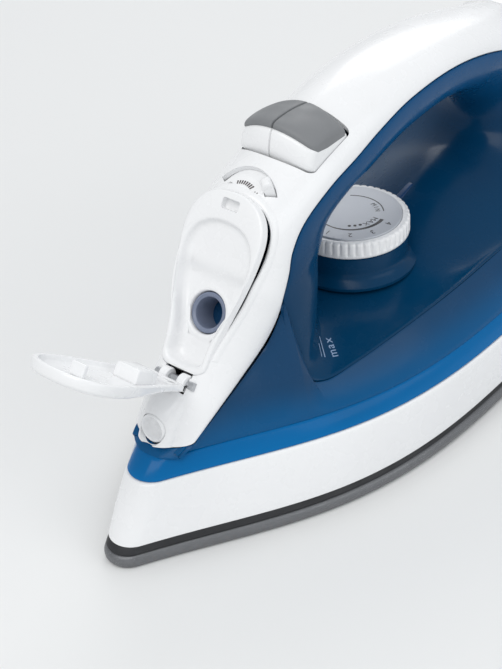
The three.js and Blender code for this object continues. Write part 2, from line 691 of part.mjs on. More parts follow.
const HEEL = { behind: 238, z: 30 };
const heelAt = (z) => HEEL.behind + (z - HEEL.z) * Math.tan(HEEL_LEAN);
const BACK_SLICES = [
  { z: Z_BASE, front: 207.3, half: 50, round: 0.9 },
  { z: 36, front: 207.3, half: 46.3, round: 0.9 },
  { z: 47, front: 207.3, half: 43, round: 0.88 },
  { z: 59, front: 207.3, half: 40.4, round: 0.86 },
  { z: 64.5, front: 214, half: 37.2, round: 0.86 },
  { z: 72, front: 222.5, half: 32.8, round: 0.86 },
  { z: 81, front: 227.2, half: 28.6, round: 0.86 },
  { z: 98, front: 230.4, half: 22.9, round: 0.84 },
  { z: 106, front: 229, half: 20.8, round: 0.82 },
  { z: 112, front: 229, half: 18.6, round: 0.8 },
  { z: 117.6, front: 231, half: 13.6, round: 0.75 },
  { z: 120.6, front: 233, half: 7, round: 0.7 },
];
function backSlice({ z, front, half, round }, wall) {
  const rear = Math.min(heelAt(z) + 6, 272 - Math.max(z - 104, 0) * 1.1) - wall;
  const w = half - wall;
  const curve = new THREE.CubicBezierCurve(
    new THREE.Vector2(front - (wall ? 8 : 0), w),
    new THREE.Vector2(front + (rear - front) * round, w),
    new THREE.Vector2(rear, w * round),
    new THREE.Vector2(rear, 0),
  );
  const left = curve.getPoints(7).map((p) => at(p.x, p.y, z));
  const right = left.slice(0, -1).reverse().map((p) => new THREE.Vector3(p.x, -p.y, p.z));
  return [...left, ...right];
}
const heelCut = (inwards) => sideProfile([
  [heelAt(-20) - inwards, -20], [heelAt(150) - inwards, 150], [340, 150], [340, -20],
], 80);
const backOuter = cut(stack(...BACK_SLICES.map((s) => backSlice(s, 0))), heelCut(0));
const backInner = cut(
  stack(...BACK_SLICES.slice(0, -1).map((s, i) =>
    backSlice(i === 0 ? { ...s, z: s.z + WALL } : s, WALL))),
  heelCut(WALL),
);
const glandAxis = new THREE.Vector3(-Math.sin(0.62), 0, Math.cos(0.62));
const glandAt = at(247, 0, 108);
const screwAxis = new THREE.Vector3(-Math.cos(HEEL_LEAN), 0, -Math.sin(HEEL_LEAN));
const heelPoint = (y, z) => at(heelAt(z), y, z);
part('rear_cover', cut(
  backOuter,
  backInner,
  upperBodyRoom,
  coverRoom,
  disc(7, Z_BASE - 5, Z_BASE + 8, at(220, 0, 0), UP, 16),
  disc(6.3, -4, 30, glandAt, glandAxis, 20),
  disc(3.6, -6, 3, heelPoint(0, 40), screwAxis, 16),
  ...[-1, 1].map((side) => disc(5.3, -1.2, 3, heelPoint(side * 22, 36), screwAxis, 16)),
), WHITE);
part('rear_cover_screw', turned(
  [[0, -14], [1.5, -14], [1.5, -3], [3.3, -3], [3.3, -1.4], [2.6, -0.6], [0, -0.6]],
  heelPoint(0, 40), screwAxis, 12), STEEL);
for (const [name, side] of [['heel_foot_left', 1], ['heel_foot_right', -1]]) {
  part(name, disc(5, -0.9, 0, heelPoint(side * 22, 36), screwAxis, 16), RUBBER);
}
part('cord_gland', cut(
  turned([[0, 3], [8, 3], [8, 5], [5.9, 5.6], [5.9, 17], [7.6, 17.6], [7.6, 19.4], [5.2, 26], [0, 26]],
    glandAt, glandAxis, 20),
  disc(3.9, 2, 28, glandAt, glandAxis, 16),
), RUBBER);

// ---- filler: tray, neck seal and lid

const NECK = { up: 24, outer: 9.6, bore: 7.4, sealOuter: 7.1, sealBore: 5.2 };
const neckAt = onFace(NECK.up, 0, 0);
part('filler_tray', cut(
  join(
    prism(recessOutline(GAP), RECESS.floor - 2, RECESS.ledge, onFace),
    tube(NECK.outer, NECK.bore, RECESS.floor - 14, RECESS.floor - 1, neckAt, faceOut),
  ),
  prism(recessOutline(2.4), RECESS.floor, 10, onFace),
  crosswise(KNUCKLE.room, KNUCKLE.half + 0.4),
  disc(NECK.bore, -30, 0, neckAt, faceOut),
), WHITE);
part('filler_neck_seal',
  tube(NECK.sealOuter, NECK.sealBore, RECESS.floor - 12, RECESS.floor - 0.8, neckAt, faceOut), SEAL);

part('filler_lid', cut(
  join(
    cut(
      prism(lidOutline(GAP), RECESS.ledge + GAP, 2.4, onLid),
      prism(lidOutline(2), -8, 1.1, onLid),
    ),
    crosswise(KNUCKLE.radius, KNUCKLE.half),
    prism(rectangle(0.5, 8, -KNUCKLE.half, KNUCKLE.half), 0.6, 2.6, onLid),
    prism(rectangle(17, 28, -5, 5), -3.2, 2, onLid),
    prism(rectangle(51, 52.6, -3, 3), -2.6, 2, onLid),
  ),
  crosswise(HINGE.radius + 0.25, 8),
), WHITE);
part('lid_hinge_pin', crosswise(HINGE.radius, HINGE.pinHalf), STEEL);

// ---- spray nozzle

part('spray_nozzle', cut(
  turned([[0, -7], [4.4, -7], [NOZZLE.radius, -5], [NOZZLE.radius, 1.5], [4.6, 2.6], [3.6, 2.6], [3.6, 0], [0, 0]],
    nozzleAt, nozzleAxis, 20),
  disc(1.1, -12, 4, nozzleAt, nozzleAxis, 8),
), WHITE);
part('nozzle_tip', turned(
  [[0.7, 0.4], [3, 0.4], [3, 1.6], [1.6, 2.4], [0.7, 2.4], [0.7, 0.4]],
  nozzleAt, nozzleAxis, 16), WHITE);

// ---- the two pump buttons and what they push

const CROWN = 5.6;
/** A piece whose side outline falls away, and whose front draws back, away from the middle plane. */
function crowned(outline, from, to) {
  const rings = [];
  const steps = 4;
  for (let i = 0; i <= steps; i++) {
    const y = from + ((to - from) * i) / steps;
    const drop = CROWN * (y / BUTTON.halfWidth) ** 2;
    rings.push(outline.map(([behind, z, falls, bows]) =>
      at(behind + bowed(y) * bows, y, z - drop * falls)));
  }
  return stack(...rings);
}
const PAD_OUTLINE = [
  [94.2, 127.4, 1, 1], [94.9, 129, 1, 1], [97, 129.7, 1, 1], [106, 129.9, 1, 0.5], [112.4, 129.2, 1, 0],
  [114.6, 128.2, 1, 0], [115.2, 126.8, 1, 0],
];
const CAP_OUTLINE = [
  [94.9, 112.2, 0, 1], [92.1, 118.6, 0.5, 1], [93.9, 127, 1, 1], [115.2, 126.3, 1, 0],
  [116.3, 119.3, 0, 0],
];
const pumpAxisAt = (side) => onSeat(12.4, side * 7.2, 0);
for (const [name, side] of [['spray', 1], ['steam', -1]]) {
  const [inner, outer] = side > 0 ? [0.25, BUTTON.halfWidth] : [-BUTTON.halfWidth, -0.25];
  const axisAt = pumpAxisAt(side);
  part(`${name}_button`, crowned(CAP_OUTLINE, inner, outer), WHITE);
  part(`${name}_button_pad`, crowned(PAD_OUTLINE, inner + 0.1, outer), GREY_PAD);
  part(`${name}_piston`, disc(2.5, -16, BUTTON.under - GAP, axisAt, seatOut, 12), WHITE);
  part(`${name}_pump`, turned(
    [[0, -20.6], [5, -20.6], [5, -13], [2.8, -13], [2.8, -19.4], [0, -19.4]], axisAt, seatOut, 16), WHITE);
  const turns = 2.5;
  const coil = Array.from({ length: 18 }, (_, i) => {
    const a = (i / 17) * turns * 2 * Math.PI;
    const height = -12.3 + (i / 17) * 4.6;
    return axisAt.clone()
      .addScaledVector(seatOut, height)
      .addScaledVector(seatBack, 4.2 * Math.cos(a))
      .addScaledVector(ACROSS, 4.2 * Math.sin(a));
  });
  part(`${name}_spring`, bar(coil, 0.35, 30, 5), STEEL);
}

// ---- steam lever, valve rod and seat

const knobOutline = arcOutline(
  LEVER.slotRadius - 1.6, LEVER.slotRadius + 1.6, LEVER.knobAngle - 9, LEVER.knobAngle + 9, 3);
const armOutline = arcOutline(1.6, LEVER.slotRadius + 1.6, LEVER.knobAngle - 9, LEVER.knobAngle + 9, 3);
part('steam_lever', join(
  disc(2.4, -7, -5, leverAt, leverOut, 14),
  prism(armOutline, -6.4, -4.9, onLever),
  prism(knobOutline, -6, 3.6, onLever),
), WHITE);
part('steam_rod', turned([
  [0, ROD.bottom], [1.2, ROD.bottom + 3], [ROD.radius, ROD.bottom + 5], [ROD.radius, ROD.top - 4],
  [3.4, ROD.top - 3], [3.4, ROD.top], [0, ROD.top],
], rodAt, UP, 12), WHITE);
part('drip_valve_seat',
  turned([[1, 24], [4.7, 24], [4.7, 35], [3.2, 35], [1, 30], [1, 24]], rodAt, UP, 16), BRASS);

// ---- temperature dial, its spindle and the thermostat on the sole

const RIBS = 48;
const rim = [];
for (let i = 0; i < RIBS * 2; i++) {
  const a = (i / (RIBS * 2)) * 2 * Math.PI;
  const radius = DIAL.radius - (i % 2 ? 0.5 : 0);
  rim.push([radius * Math.cos(a), radius * Math.sin(a)]);
}
const wheelRing = (z) => rim.map(([x, y]) => new THREE.Vector3(dialAt.x + x, y, z));
part('temperature_dial', cut(
  stack(wheelRing(DIAL.bottom), wheelRing(DIAL.top)),
  disc(DIAL.plateRadius + GAP, DIAL.top - 1, DIAL.top + 2, dialAt, UP, 32),
  disc(2.6, 60, 71, dialAt, UP, 12),
), WHITE);
part('dial_plate', disc(DIAL.plateRadius, DIAL.top - 0.7, DIAL.top + 0.5, dialAt, UP, 32), SILVER);
part('dial_spindle', disc(2.3, 24.5, 70.6, dialAt, UP, 12), STEEL);
part('thermostat', join(
  disc(9, 19.4, 21.4, dialAt, UP, 20),
  disc(5.5, 21, 24.2, dialAt, UP, 16),
  block(34, 9, 1.6, at(DIAL.behind + 10, 0, 18.8)),
  block(9, 9, 4, at(DIAL.behind + 22, 0, 21)),
), CERAMIC);
part('thermal_fuse', join(
  disc(2.2, -9, 9, at(172, 17, 19), new THREE.Vector3(1, 0, 0), 10),
  disc(0.6, -15, 15, at(172, 17, 19), new THREE.Vector3(1, 0, 0), 6),
), CERAMIC);
part('terminal_block', cut(
  block(12, 40, 16, at(219, 0, 44)),
  ...[-13, 0, 13].map((y) => disc(2, -10, 10, at(219, y, 46), new THREE.Vector3(1, 0, 0), 10)),
), CERAMIC);
part('lamp_lens', block(12, 4, 2.8, lensAt, LENS_LEAN), LENS);
part('pilot_lamp', disc(1.7, -5, 5, at(171, 0, 60.4), new THREE.Vector3(1, 0, 0), 10), CERAMIC);

// ---- hoses and screws

const sprayHose = [
  onSeat(12.4 - 5.6, 7.2, -18.4),
  at(96, 9.8, 98),
  at(88, 11, 86),
  at(80, 12.4, 72),
  at(66, 12.4, 58),
  at(50, 8, 49),
  nozzleAt.clone().addScaledVector(nozzleAxis, -8.4),
];
part('spray_hose', bar(sprayHose, 1.6, 26, 6), RUBBER);

for (const [name, behind, y] of [['front', 47.6, 0], ['left', 196, 20], ['right', 196, -20]]) {
  part(`sole_screw_${name}`, turned(
    [[0, 14.2], [1.7, 14.2], [1.7, 24], [3.4, 24], [3.4, 25.6], [2.4, 26.6], [0, 26.6]],
    at(behind, y, 0), UP, 10), STEEL);
}

export default iron;
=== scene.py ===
import math

import bmesh
import bpy
import numpy as np
from mathutils import Matrix, Vector
from mathutils.bvhtree import BVHTree


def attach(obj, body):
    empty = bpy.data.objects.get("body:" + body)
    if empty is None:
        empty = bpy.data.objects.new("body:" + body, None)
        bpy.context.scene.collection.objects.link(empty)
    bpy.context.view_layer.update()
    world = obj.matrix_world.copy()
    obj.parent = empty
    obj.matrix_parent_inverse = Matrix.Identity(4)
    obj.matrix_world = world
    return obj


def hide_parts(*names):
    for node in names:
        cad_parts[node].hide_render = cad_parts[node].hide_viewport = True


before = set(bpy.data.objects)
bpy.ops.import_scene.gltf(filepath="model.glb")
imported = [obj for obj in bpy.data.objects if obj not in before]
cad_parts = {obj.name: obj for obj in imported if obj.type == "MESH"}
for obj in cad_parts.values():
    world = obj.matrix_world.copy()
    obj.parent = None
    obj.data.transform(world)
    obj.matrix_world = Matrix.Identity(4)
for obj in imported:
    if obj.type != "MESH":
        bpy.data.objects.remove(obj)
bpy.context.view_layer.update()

# A household steam iron. Lengths are millimetres until a mesh is made, which is in metres.
# A place is given as its distance behind the sole's nose tip, then across, then up.

MM = 0.001
NOSE_X = 113.0
WALL = 2.0
SOLE_TOP = 5.0
SKIRT_LOW, SKIRT_HIGH = 8.0, 28.3
BAND_LOW, BAND_HIGH = 28.6, 35.0
TANK_REAR = 206.9


def at(behind, y, z):
    return np.array([NOSE_X - behind, y, z], float)


def unit(v):
    v = np.asarray(v, float)
    return v / max(np.linalg.norm(v), 1e-12)


# ---------------------------------------------------------------- curves and surfaces


def spline(points, s, closed=False, even=False):
    """A centripetal Catmull-Rom curve through points, at s from 0 to 1; even spaces it uniformly."""
    points = np.asarray(points, float)
    count = len(points)
    place = (count if closed else count - 1) * s
    i = int(math.floor(place))
    w = place - i
    if not closed and i >= count - 1:
        i, w = count - 2, 1.0
    p1, p2 = points[i % count], points[(i + 1) % count]
    p0 = points[(i - 1) % count] if closed or i > 0 else 2 * points[0] - points[1]
    p3 = points[(i + 2) % count] if closed or i + 2 < count else 2 * points[-1] - points[-2]
    if even:
        t1, t2 = 0.5 * (p2 - p0), 0.5 * (p3 - p1)
    else:
        d0, d1, d2 = (max(np.linalg.norm(b - a), 1e-4) ** 0.5
                      for a, b in ((p0, p1), (p1, p2), (p2, p3)))
        t1 = ((p1 - p0) / d0 - (p2 - p0) / (d0 + d1) + (p2 - p1) / d1) * d1
        t2 = ((p2 - p1) / d1 - (p3 - p1) / (d1 + d2) + (p3 - p2) / d2) * d1
    return (p1 + t1 * w + (-3 * p1 + 3 * p2 - 2 * t1 - t2) * w**2
            + (2 * p1 - 2 * p2 + t1 + t2) * w**3)


def station(edge, middle, leave, level):
    """Edge and middle points, how the surface leaves the edge, how far it runs level in the middle."""
    return {
        "edge": at(*edge),
        "middle": at(middle[0], 0, middle[1]),
        "leave": np.array([-leave[0], leave[1], leave[2]], float),
        "level": np.array([level, 0, 0], float),
    }


def patch(stations, steps, across, closed):
    """A grid from the left edge over the middle plane to the right edge, row by row."""
    t = np.linspace(0, 1, across)[:, None]
    rows = []
    for i in range(steps):
        s = i / (steps if closed else steps - 1)
        edge, middle, leave = (spline([x[key] for x in stations], s, closed)
                               for key in ("edge", "middle", "leave"))
        level = spline([x["level"] for x in stations], s, closed, even=True)[0]
        half = (edge * (2 * t**3 - 3 * t**2 + 1) + leave * (t**3 - 2 * t**2 + t)
                + middle * (3 * t**2 - 2 * t**3) + np.array([0, -level, 0]) * (t**3 - t**2))
        rows.append(np.vstack([half, half[-2::-1] * [1, -1, 1]]))
    return np.array(rows)


def normals(rows, closed, facing):
    if closed:
        along = np.roll(rows, -1, 0) - np.roll(rows, 1, 0)
    else:
        along = np.gradient(rows, axis=0)
    over = np.gradient(rows, axis=1)
    n = np.cross(along, over)
    return facing * n / np.maximum(np.linalg.norm(n, axis=2, keepdims=True), 1e-9)


def shell_rings(rows, wall, closed, facing, lip=0.5):
    """Each row as a closed ring: its outer face, a rounded lip at both ends and its inner face."""
    n = normals(rows, closed, facing)
    rings = []
    for row, out in zip(rows, n):
        start_in, end_in = unit(row[1] - row[0]), unit(row[-2] - row[-1])
        lips = []
        for p, into, up in ((row[0], start_in, out[0]), (row[-1], end_in, out[-1])):
            lips.append([p - up * lip, p + into * 0.3 * lip - up * 0.3 * lip, p + into * lip])
        inner = row - out * wall
        rings.append(np.vstack([lips[0], row[2:-2], lips[1][::-1], inner[::-1]]))
    return np.array(rings)


def loft_faces(count, size, closed):
    """Quads between rings that each close on themselves."""
    faces = []
    for i in range(count if closed else count - 1):
        k = (i + 1) % count
        for j in range(size):
            l = (j + 1) % size
            faces.append((i * size + j, k * size + j, k * size + l, i * size + l))
    return faces


def end_strips(count, size, outer):
    """Closes the two ends of an open shell with quads between its outer and inner face."""
    faces = []
    for base, flip in ((0, False), ((count - 1) * size, True)):
        for j in range(outer - 1):
            quad = [base + j, base + j + 1,
                    base + max(size - 2 - j, outer), base + min(size - 1 - j, size - 1)]
            quad = list(dict.fromkeys(quad))
            faces.append(tuple(quad[::-1] if flip else quad))
    return faces


# ---------------------------------------------------------------- making pieces


def made(name, points, faces, look, body, slot, angle=32, flip=None):
    """A piece of the visual model from points in millimetres."""
    mesh = bpy.data.meshes.new(name)
    mesh.from_pydata((np.asarray(points, float).reshape(-1, 3) * MM).tolist(), [], faces)
    bm = bmesh.new()
    bm.from_mesh(mesh)
    bmesh.ops.remove_doubles(bm, verts=bm.verts, dist=2e-6)
    bmesh.ops.dissolve_degenerate(bm, edges=bm.edges, dist=1e-7)
    bmesh.ops.recalc_face_normals(bm, faces=bm.faces)
    bm.to_mesh(mesh)
    bm.free()
    obj = bpy.data.objects.new(name, mesh)
    bpy.context.scene.collection.objects.link(obj)
    mesh.materials.append(look)
    soften(mesh, angle)
    if body:
        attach(obj, body)
    return obj


def soften(mesh, angle):
    mesh.polygons.foreach_set("use_smooth", [True] * len(mesh.polygons))
    mesh.set_sharp_from_angle(angle=math.radians(angle))


def settle(obj, angle=32):
    """Applies a piece's modifiers."""
    graph = bpy.context.evaluated_depsgraph_get()
    mesh = bpy.data.meshes.new_from_object(obj.evaluated_get(graph))
    obj.modifiers.clear()
    old = obj.data
    obj.data = mesh
    mesh.name = obj.name
    bpy.data.meshes.remove(old)
    soften(mesh, angle)


def cut(obj, cutters, angle=32):
    for cutter in cutters:
        modifier = obj.modifiers.new("cut", "BOOLEAN")
        modifier.operation = "DIFFERENCE"
        modifier.solver = "EXACT"
        modifier.object = cutter
    settle(obj, angle)
    for cutter in cutters:
        bpy.data.objects.remove(cutter)


def tool(points, faces):
    """A closed body that is only used to cut with."""
    return made("tool", points, faces, LOOK["white"], None, None)


def prism(outline, low, high, place):
    """Points and faces of an outline pushed between two depths."""
    n = len(outline)
    points = [place(u, y, w) for w in (low, high) for u, y in outline]
    faces = [(j, (j + 1) % n, n + (j + 1) % n, n + j) for j in range(n)]
    return points, faces + [tuple(range(n))[::-1], tuple(range(n, 2 * n))]


def turned(profile, origin, axis=(0, 0, 1), segments=64):
    """Points and faces of a profile [radius, height] turned round an axis."""
    axis = unit(axis)
    side = unit(np.cross(axis, [0, 1, 0] if abs(axis[1]) < 0.9 else [1, 0, 0]))
    other = np.cross(axis, side)
    rings = []
    for i in range(segments):
        a = 2 * math.pi * i / segments
        ray = side * math.cos(a) + other * math.sin(a)
        rings.append([origin + ray * r + axis * h for r, h in profile])
    size = len(profile)
    faces = []
    for i in range(segments):
        k = (i + 1) % segments
        for j in range(size - 1):
            faces.append((i * size + j, k * size + j, k * size + j + 1, i * size + j + 1))
    return np.array(rings).reshape(-1, 3), faces


def rod(radius, low, high, origin, axis, segments=32):
    return turned([[0, low], [radius, low], [radius, high], [0, high]], origin, axis, segments)


def merged(*bodies):
    """Several bodies' points and faces as one."""
    points, faces, start = [], [], 0
    for p, f in bodies:
        p = np.asarray(p, float).reshape(-1, 3)
        points.append(p)
        faces += [tuple(i + start for i in face) for face in f]
        start += len(p)
    return np.vstack(points), faces


def cushioned(u0, u1, y0, y1, w0, w1, place, radius=0.5, steps=4):
    """A block with all its edges rounded, in a place function's own directions."""
    lo, hi = np.array([u0, y0, w0]), np.array([u1, y1, w1])
    radius = min(radius, *((hi - lo) / 2.02))
    bm = bmesh.new()
    bmesh.ops.create_cube(bm, size=1)
    for v in bm.verts:
        v.co = Vector((lo + hi) / 2 + np.array(v.co) * (hi - lo))
    bmesh.ops.bevel(bm, geom=list(bm.edges), offset=radius, segments=steps, profile=0.5,
                    affect="EDGES")
    bm.verts.index_update()
    points = [place(*v.co) for v in bm.verts]
    faces = [tuple(v.index for v in f.verts) for f in bm.faces]
    bm.free()
    return points, faces


def swept(path, section, closed):
    """A section [sideways, up] carried along a path of (point, sideways, up)."""
    rings = [[p + side * a + up * b for a, b in section] for p, side, up in path]
    faces = loft_faces(len(rings), len(section), closed)
    if not closed:
        faces += [tuple(range(len(section)))[::-1],
                  tuple(range((len(rings) - 1) * len(section), len(rings) * len(section)))]
    return np.array(rings).reshape(-1, 3), faces


# ---------------------------------------------------------------- finishes


class Finish:
    """A procedural material made of a Principled shader and a few nodes."""

    def __init__(self, name, colour, roughness, **sockets):
        self.material = bpy.data.materials.new(name)
        self.material.use_nodes = True
        self.tree = self.material.node_tree
        self.shader = self.tree.nodes["Principled BSDF"]
        self.shader.inputs["Base Color"].default_value = (*colour, 1)
        self.shader.inputs["Roughness"].default_value = roughness
        for key, value in sockets.items():
            self.shader.inputs[key.replace("_", " ")].default_value = value
        self.where = self.tree.nodes.new("ShaderNodeTexCoord").outputs["Object"]
        self.height = None

    def node(self, kind, inputs=None, **settings):
        made_node = self.tree.nodes.new("ShaderNode" + kind)
        for key, value in settings.items():
            setattr(made_node, key, value)
        for key, value in (inputs or {}).items():
            if isinstance(value, bpy.types.NodeSocket):
                self.tree.links.new(value, made_node.inputs[key])
            else:
                made_node.inputs[key].default_value = value
        return made_node

    def noise(self, scale, detail=3, stretch=None):
        vector = self.where
        if stretch:
            vector = self.node("Mapping", {"Vector": vector, "Scale": stretch}).outputs[0]
        return self.node("TexNoise", {"Vector": vector, "Scale": scale, "Detail": detail}).outputs[0]

    def spread(self, value, low, high, to_low, to_high, smooth=True):
        kind = "SMOOTHSTEP" if smooth else "LINEAR"
        return self.node("MapRange", {0: value, 1: low, 2: high, 3: to_low, 4: to_high},
                         interpolation_type=kind).outputs[0]

    def along(self, axis):
        return self.node("SeparateXYZ", {0: self.where}).outputs[axis]

    def blend(self, factor, first, second, mode="MIX"):
        mix = self.node("Mix", {0: factor}, data_type="RGBA", blend_type=mode)
        for index, value in ((6, first), (7, second)):
            if isinstance(value, bpy.types.NodeSocket):
                self.tree.links.new(value, mix.inputs[index])
            else:
                mix.inputs[index].default_value = (*value, 1)
        return mix.outputs[2]

    def maths(self, operation, first, second):
        return self.node("Math", {0: first, 1: second}, operation=operation).outputs[0]

    def drive(self, socket, value):
        self.tree.links.new(value, self.shader.inputs[socket])
        return self

    def bump(self, value, strength, distance):
        bump = self.node("Bump", {"Height": value, "Strength": strength, "Distance": distance})
        if self.height:
            self.tree.links.new(self.height, bump.inputs["Normal"])
        self.height = bump.outputs[0]
        self.tree.links.new(self.height, self.shader.inputs["Normal"])
        return self


LOOK = {}


def moulded(key, colour, roughness, shade=0.94, grain=0.05, grain_scale=2600, **sockets):
    """Moulded plastic: faint mottling, uneven gloss and the fine texture of the mould."""
    f = Finish(key, colour, roughness, **sockets)
    darker = tuple(c * shade for c in colour)
    f.drive("Base Color", f.blend(f.spread(f.noise(38), 0.35, 0.65, 0, 1), colour, darker))
    f.drive("Roughness", f.spread(f.noise(120, 5), 0.3, 0.7, roughness * 0.8, roughness * 1.25))
    f.bump(f.noise(grain_scale, 2), grain, 0.00005)
    LOOK[key] = f.material
    return f


def blue_with_painted_glow(key, deep, bright, rise, roughness=0.13):
    """Tinted plastic, opaque and painted as if clear: a painted glow makes it brighter at one end of its
    rise, and darker clouds are painted where inner shapes would show through.
    """
    f = Finish(key, deep, roughness, IOR=1.4, Specular_IOR_Level=0.2, Coat_Weight=0.04,
               Coat_Roughness=0.08)
    height = f.along(2)
    # Painted glow: the colour runs from deep to bright along the height, as light through thin plastic
    # would look.
    up = f.spread(height, rise[0], rise[1], 1, 0)
    # Painted darker clouds stand for inner shapes seen through the plastic.
    cloud = f.spread(f.noise(16, 2, (1, 1, 1.8)), 0.42, 0.62, 0, 1)
    depth = f.blend(cloud, deep, tuple(d * 0.55 + b * 0.22 for d, b in zip(deep, bright)))
    f.drive("Base Color", f.blend(up, depth, bright))
    f.drive("Roughness", f.spread(f.noise(90, 4), 0.3, 0.7, roughness * 0.7, roughness * 1.4))
    f.bump(f.noise(700, 2), 0.03, 0.00008)
    LOOK[key] = f.material
    return f


moulded("white", (0.87, 0.875, 0.885), 0.26, shade=0.988, grain=0.03, IOR=1.46,
        Coat_Weight=0.15, Coat_Roughness=0.12)
moulded("white_inside", (0.72, 0.735, 0.765), 0.34, shade=0.96, IOR=1.5)
# The tank and the azure band get their painted glow at the lower edge, the body towards its top.
blue_with_painted_glow("tank", (0.010, 0.052, 0.128), (0.002, 0.088, 0.240), (0.034, 0.050), 0.22)
blue_with_painted_glow("body", (0.001, 0.040, 0.105), (0.003, 0.070, 0.195), (0.120, 0.070), 0.24)
blue_with_painted_glow("azure", (0.0, 0.118, 0.335), (0.0, 0.140, 0.39), (0.027, 0.036), 0.16)
moulded("pad", (0.205, 0.212, 0.222), 0.52, shade=0.93, grain=0.3, grain_scale=3800)
moulded("shield", (0.018, 0.019, 0.022), 0.5, shade=0.8, grain=0.2)
moulded("gland", (0.03, 0.032, 0.036), 0.6, shade=0.85, grain=0.3)
moulded("seal", (0.20, 0.235, 0.33), 0.38, shade=0.9, grain=0.1)
moulded("ceramic", (0.72, 0.68, 0.6), 0.7, shade=0.9, grain=0.3)
moulded("ink", (0.10, 0.085, 0.085), 0.45, shade=0.85)
moulded("dark_ink", (0.02, 0.018, 0.022), 0.4, shade=0.85)
moulded("pale_ink", (0.30, 0.42, 0.62), 0.35, shade=0.9)
moulded("lens", (0.012, 0.06, 0.17), 0.3, shade=0.8, IOR=1.4)


def metal(key, colour, roughness, brushed=(1, 1, 1), grain=0.06):
    f = Finish(key, colour, roughness, Metallic=1.0)
    lines = f.noise(420, 4, brushed)
    f.drive("Base Color", f.blend(lines, tuple(c * 0.86 for c in colour), colour))
    f.drive("Roughness", f.spread(lines, 0.3, 0.7, roughness * 0.8, roughness * 1.3))
    f.bump(lines, grain, 0.00005)
    LOOK[key] = f.material


metal("steel", (0.56, 0.57, 0.59), 0.3)
metal("aluminium", (0.66, 0.67, 0.69), 0.38)
metal("brass", (0.62, 0.43, 0.16), 0.3)


def speckled(key, colour, fleck, roughness):
    """Coated sole metal: a grey ground with fine bright and dark flecks."""
    f = Finish(key, colour, roughness, Metallic=0.35, IOR=1.5)
    fine = f.noise(5200, 2)
    ground = f.blend(f.noise(300, 4), tuple(c * 0.82 for c in colour), colour)
    bright = f.blend(f.spread(fine, 0.62, 0.72, 0, 0.85), ground, fleck)
    f.drive("Base Color", f.blend(f.spread(fine, 0.36, 0.28, 0, 0.6), bright, (0.02, 0.02, 0.024)))
    f.drive("Roughness", f.spread(f.noise(160, 3), 0.3, 0.7, roughness * 0.8, roughness * 1.2))
    f.bump(fine, 0.12, 0.00004)
    LOOK[key] = f.material


speckled("sole", (0.17, 0.175, 0.185), (0.5, 0.5, 0.52), 0.38)


def silver_print(key, colour):
    """Satin silver foil with a fine grain across it."""
    f = Finish(key, colour, 0.4, Metallic=0.25, IOR=1.45)
    grain = f.noise(2400, 3)
    f.drive("Base Color", f.blend(grain, tuple(c * 0.9 for c in colour), colour))
    f.drive("Roughness", f.spread(grain, 0.3, 0.7, 0.32, 0.5))
    f.bump(grain, 0.08, 0.00004)
    LOOK[key] = f.material


silver_print("silver", (0.55, 0.575, 0.62))

# ---------------------------------------------------------------- camera

CAMERA_AT = (418.9, 332.8, 406.9)
CAMERA_RIGHT = (-0.631, 0.774, -0.042)
CAMERA_BACK = (0.620, 0.537, 0.572)
FOCAL_LENGTH = 94.65

camera_data = bpy.data.cameras.new("camera")
camera = bpy.data.objects.new("camera", camera_data)
bpy.context.scene.collection.objects.link(camera)
back = Vector(CAMERA_BACK).normalized()
right = (Vector(CAMERA_RIGHT) - Vector(CAMERA_RIGHT).dot(back) * back).normalized()
turn = Matrix((right, back.cross(right), back)).transposed().to_4x4()
camera.matrix_world = Matrix.Translation(Vector(CAMERA_AT) * MM) @ turn
camera_data.lens = FOCAL_LENGTH
camera_data.sensor_width = 36
camera_data.clip_start, camera_data.clip_end = 0.01, 50
bpy.context.scene.camera = camera

# ---------------------------------------------------------------- plan outlines

NOSE_HALF_ANGLE = math.radians(28.8)
SOLE_PLAN = {"nose": 0, "radius": 8.4, "half": 56.2, "widest": 142.2, "rear": 226}
SKIRT_FOOT = {**SOLE_PLAN, "nose": 2.6, "half": 55.6, "rear": 227}
SKIRT_TOP = {"nose": 14.2, "radius": 9, "half": 54.6, "widest": 152, "rear": 232}
BASE_FOOT = {**SKIRT_TOP, "nose": 14.8, "half": 54.2}
BASE_TOP = {**SKIRT_TOP, "nose": 21.4, "half": 51.2}


def bezier(a, b, c, d, count):
    t = np.linspace(0, 1, count + 1)[1:, None]
    a, b, c, d = (np.array(p, float) for p in (a, b, c, d))
    return (1 - t)**3 * a + 3 * (1 - t)**2 * t * b + 3 * (1 - t) * t**2 * c + t**3 * d


def plan_half(plan):
    """[behind, across] from the nose to the middle of the back, on the iron's left."""
    r, nose = plan["radius"], plan["nose"]
    a = np.linspace(0, math.pi / 2 - NOSE_HALF_ANGLE, 15)[:, None]
    arc = np.hstack([nose + r - r * np.cos(a), r * np.sin(a)])
    wide = np.array([plan["widest"], plan["half"]])
    span = np.linalg.norm(wide - arc[-1])
    along = np.array([math.cos(NOSE_HALF_ANGLE), math.sin(NOSE_HALF_ANGLE)])
    side = bezier(arc[-1], arc[-1] + along * 0.36 * span, wide - [0.49 * span, 0], wide, 70)
    rear = plan["rear"]
    tail = bezier(wide, (rear - 8, plan["half"]), (rear, plan["half"] * 0.8), (rear, 0), 46)
    return np.vstack([arc, side, tail])


def inset(plan, distance):
    return {
        "nose": plan["nose"] + distance,
        "radius": max(plan["radius"] - distance * 0.3, 2),
        "half": plan["half"] - distance,
        "widest": plan["widest"],
        "rear": plan["rear"] - distance,
    }


def between(first, second, f):
    return {key: first[key] * (1 - f) + second[key] * f for key in first}


def plan_ring(plan, z, rear=None):
    half = plan_half(plan)
    if rear:
        half[:, 0] = np.minimum(half[:, 0], rear)
    left = np.array([at(b, y, z) for b, y in half])
    return np.vstack([left, left[-2:0:-1] * [1, -1, 1]])


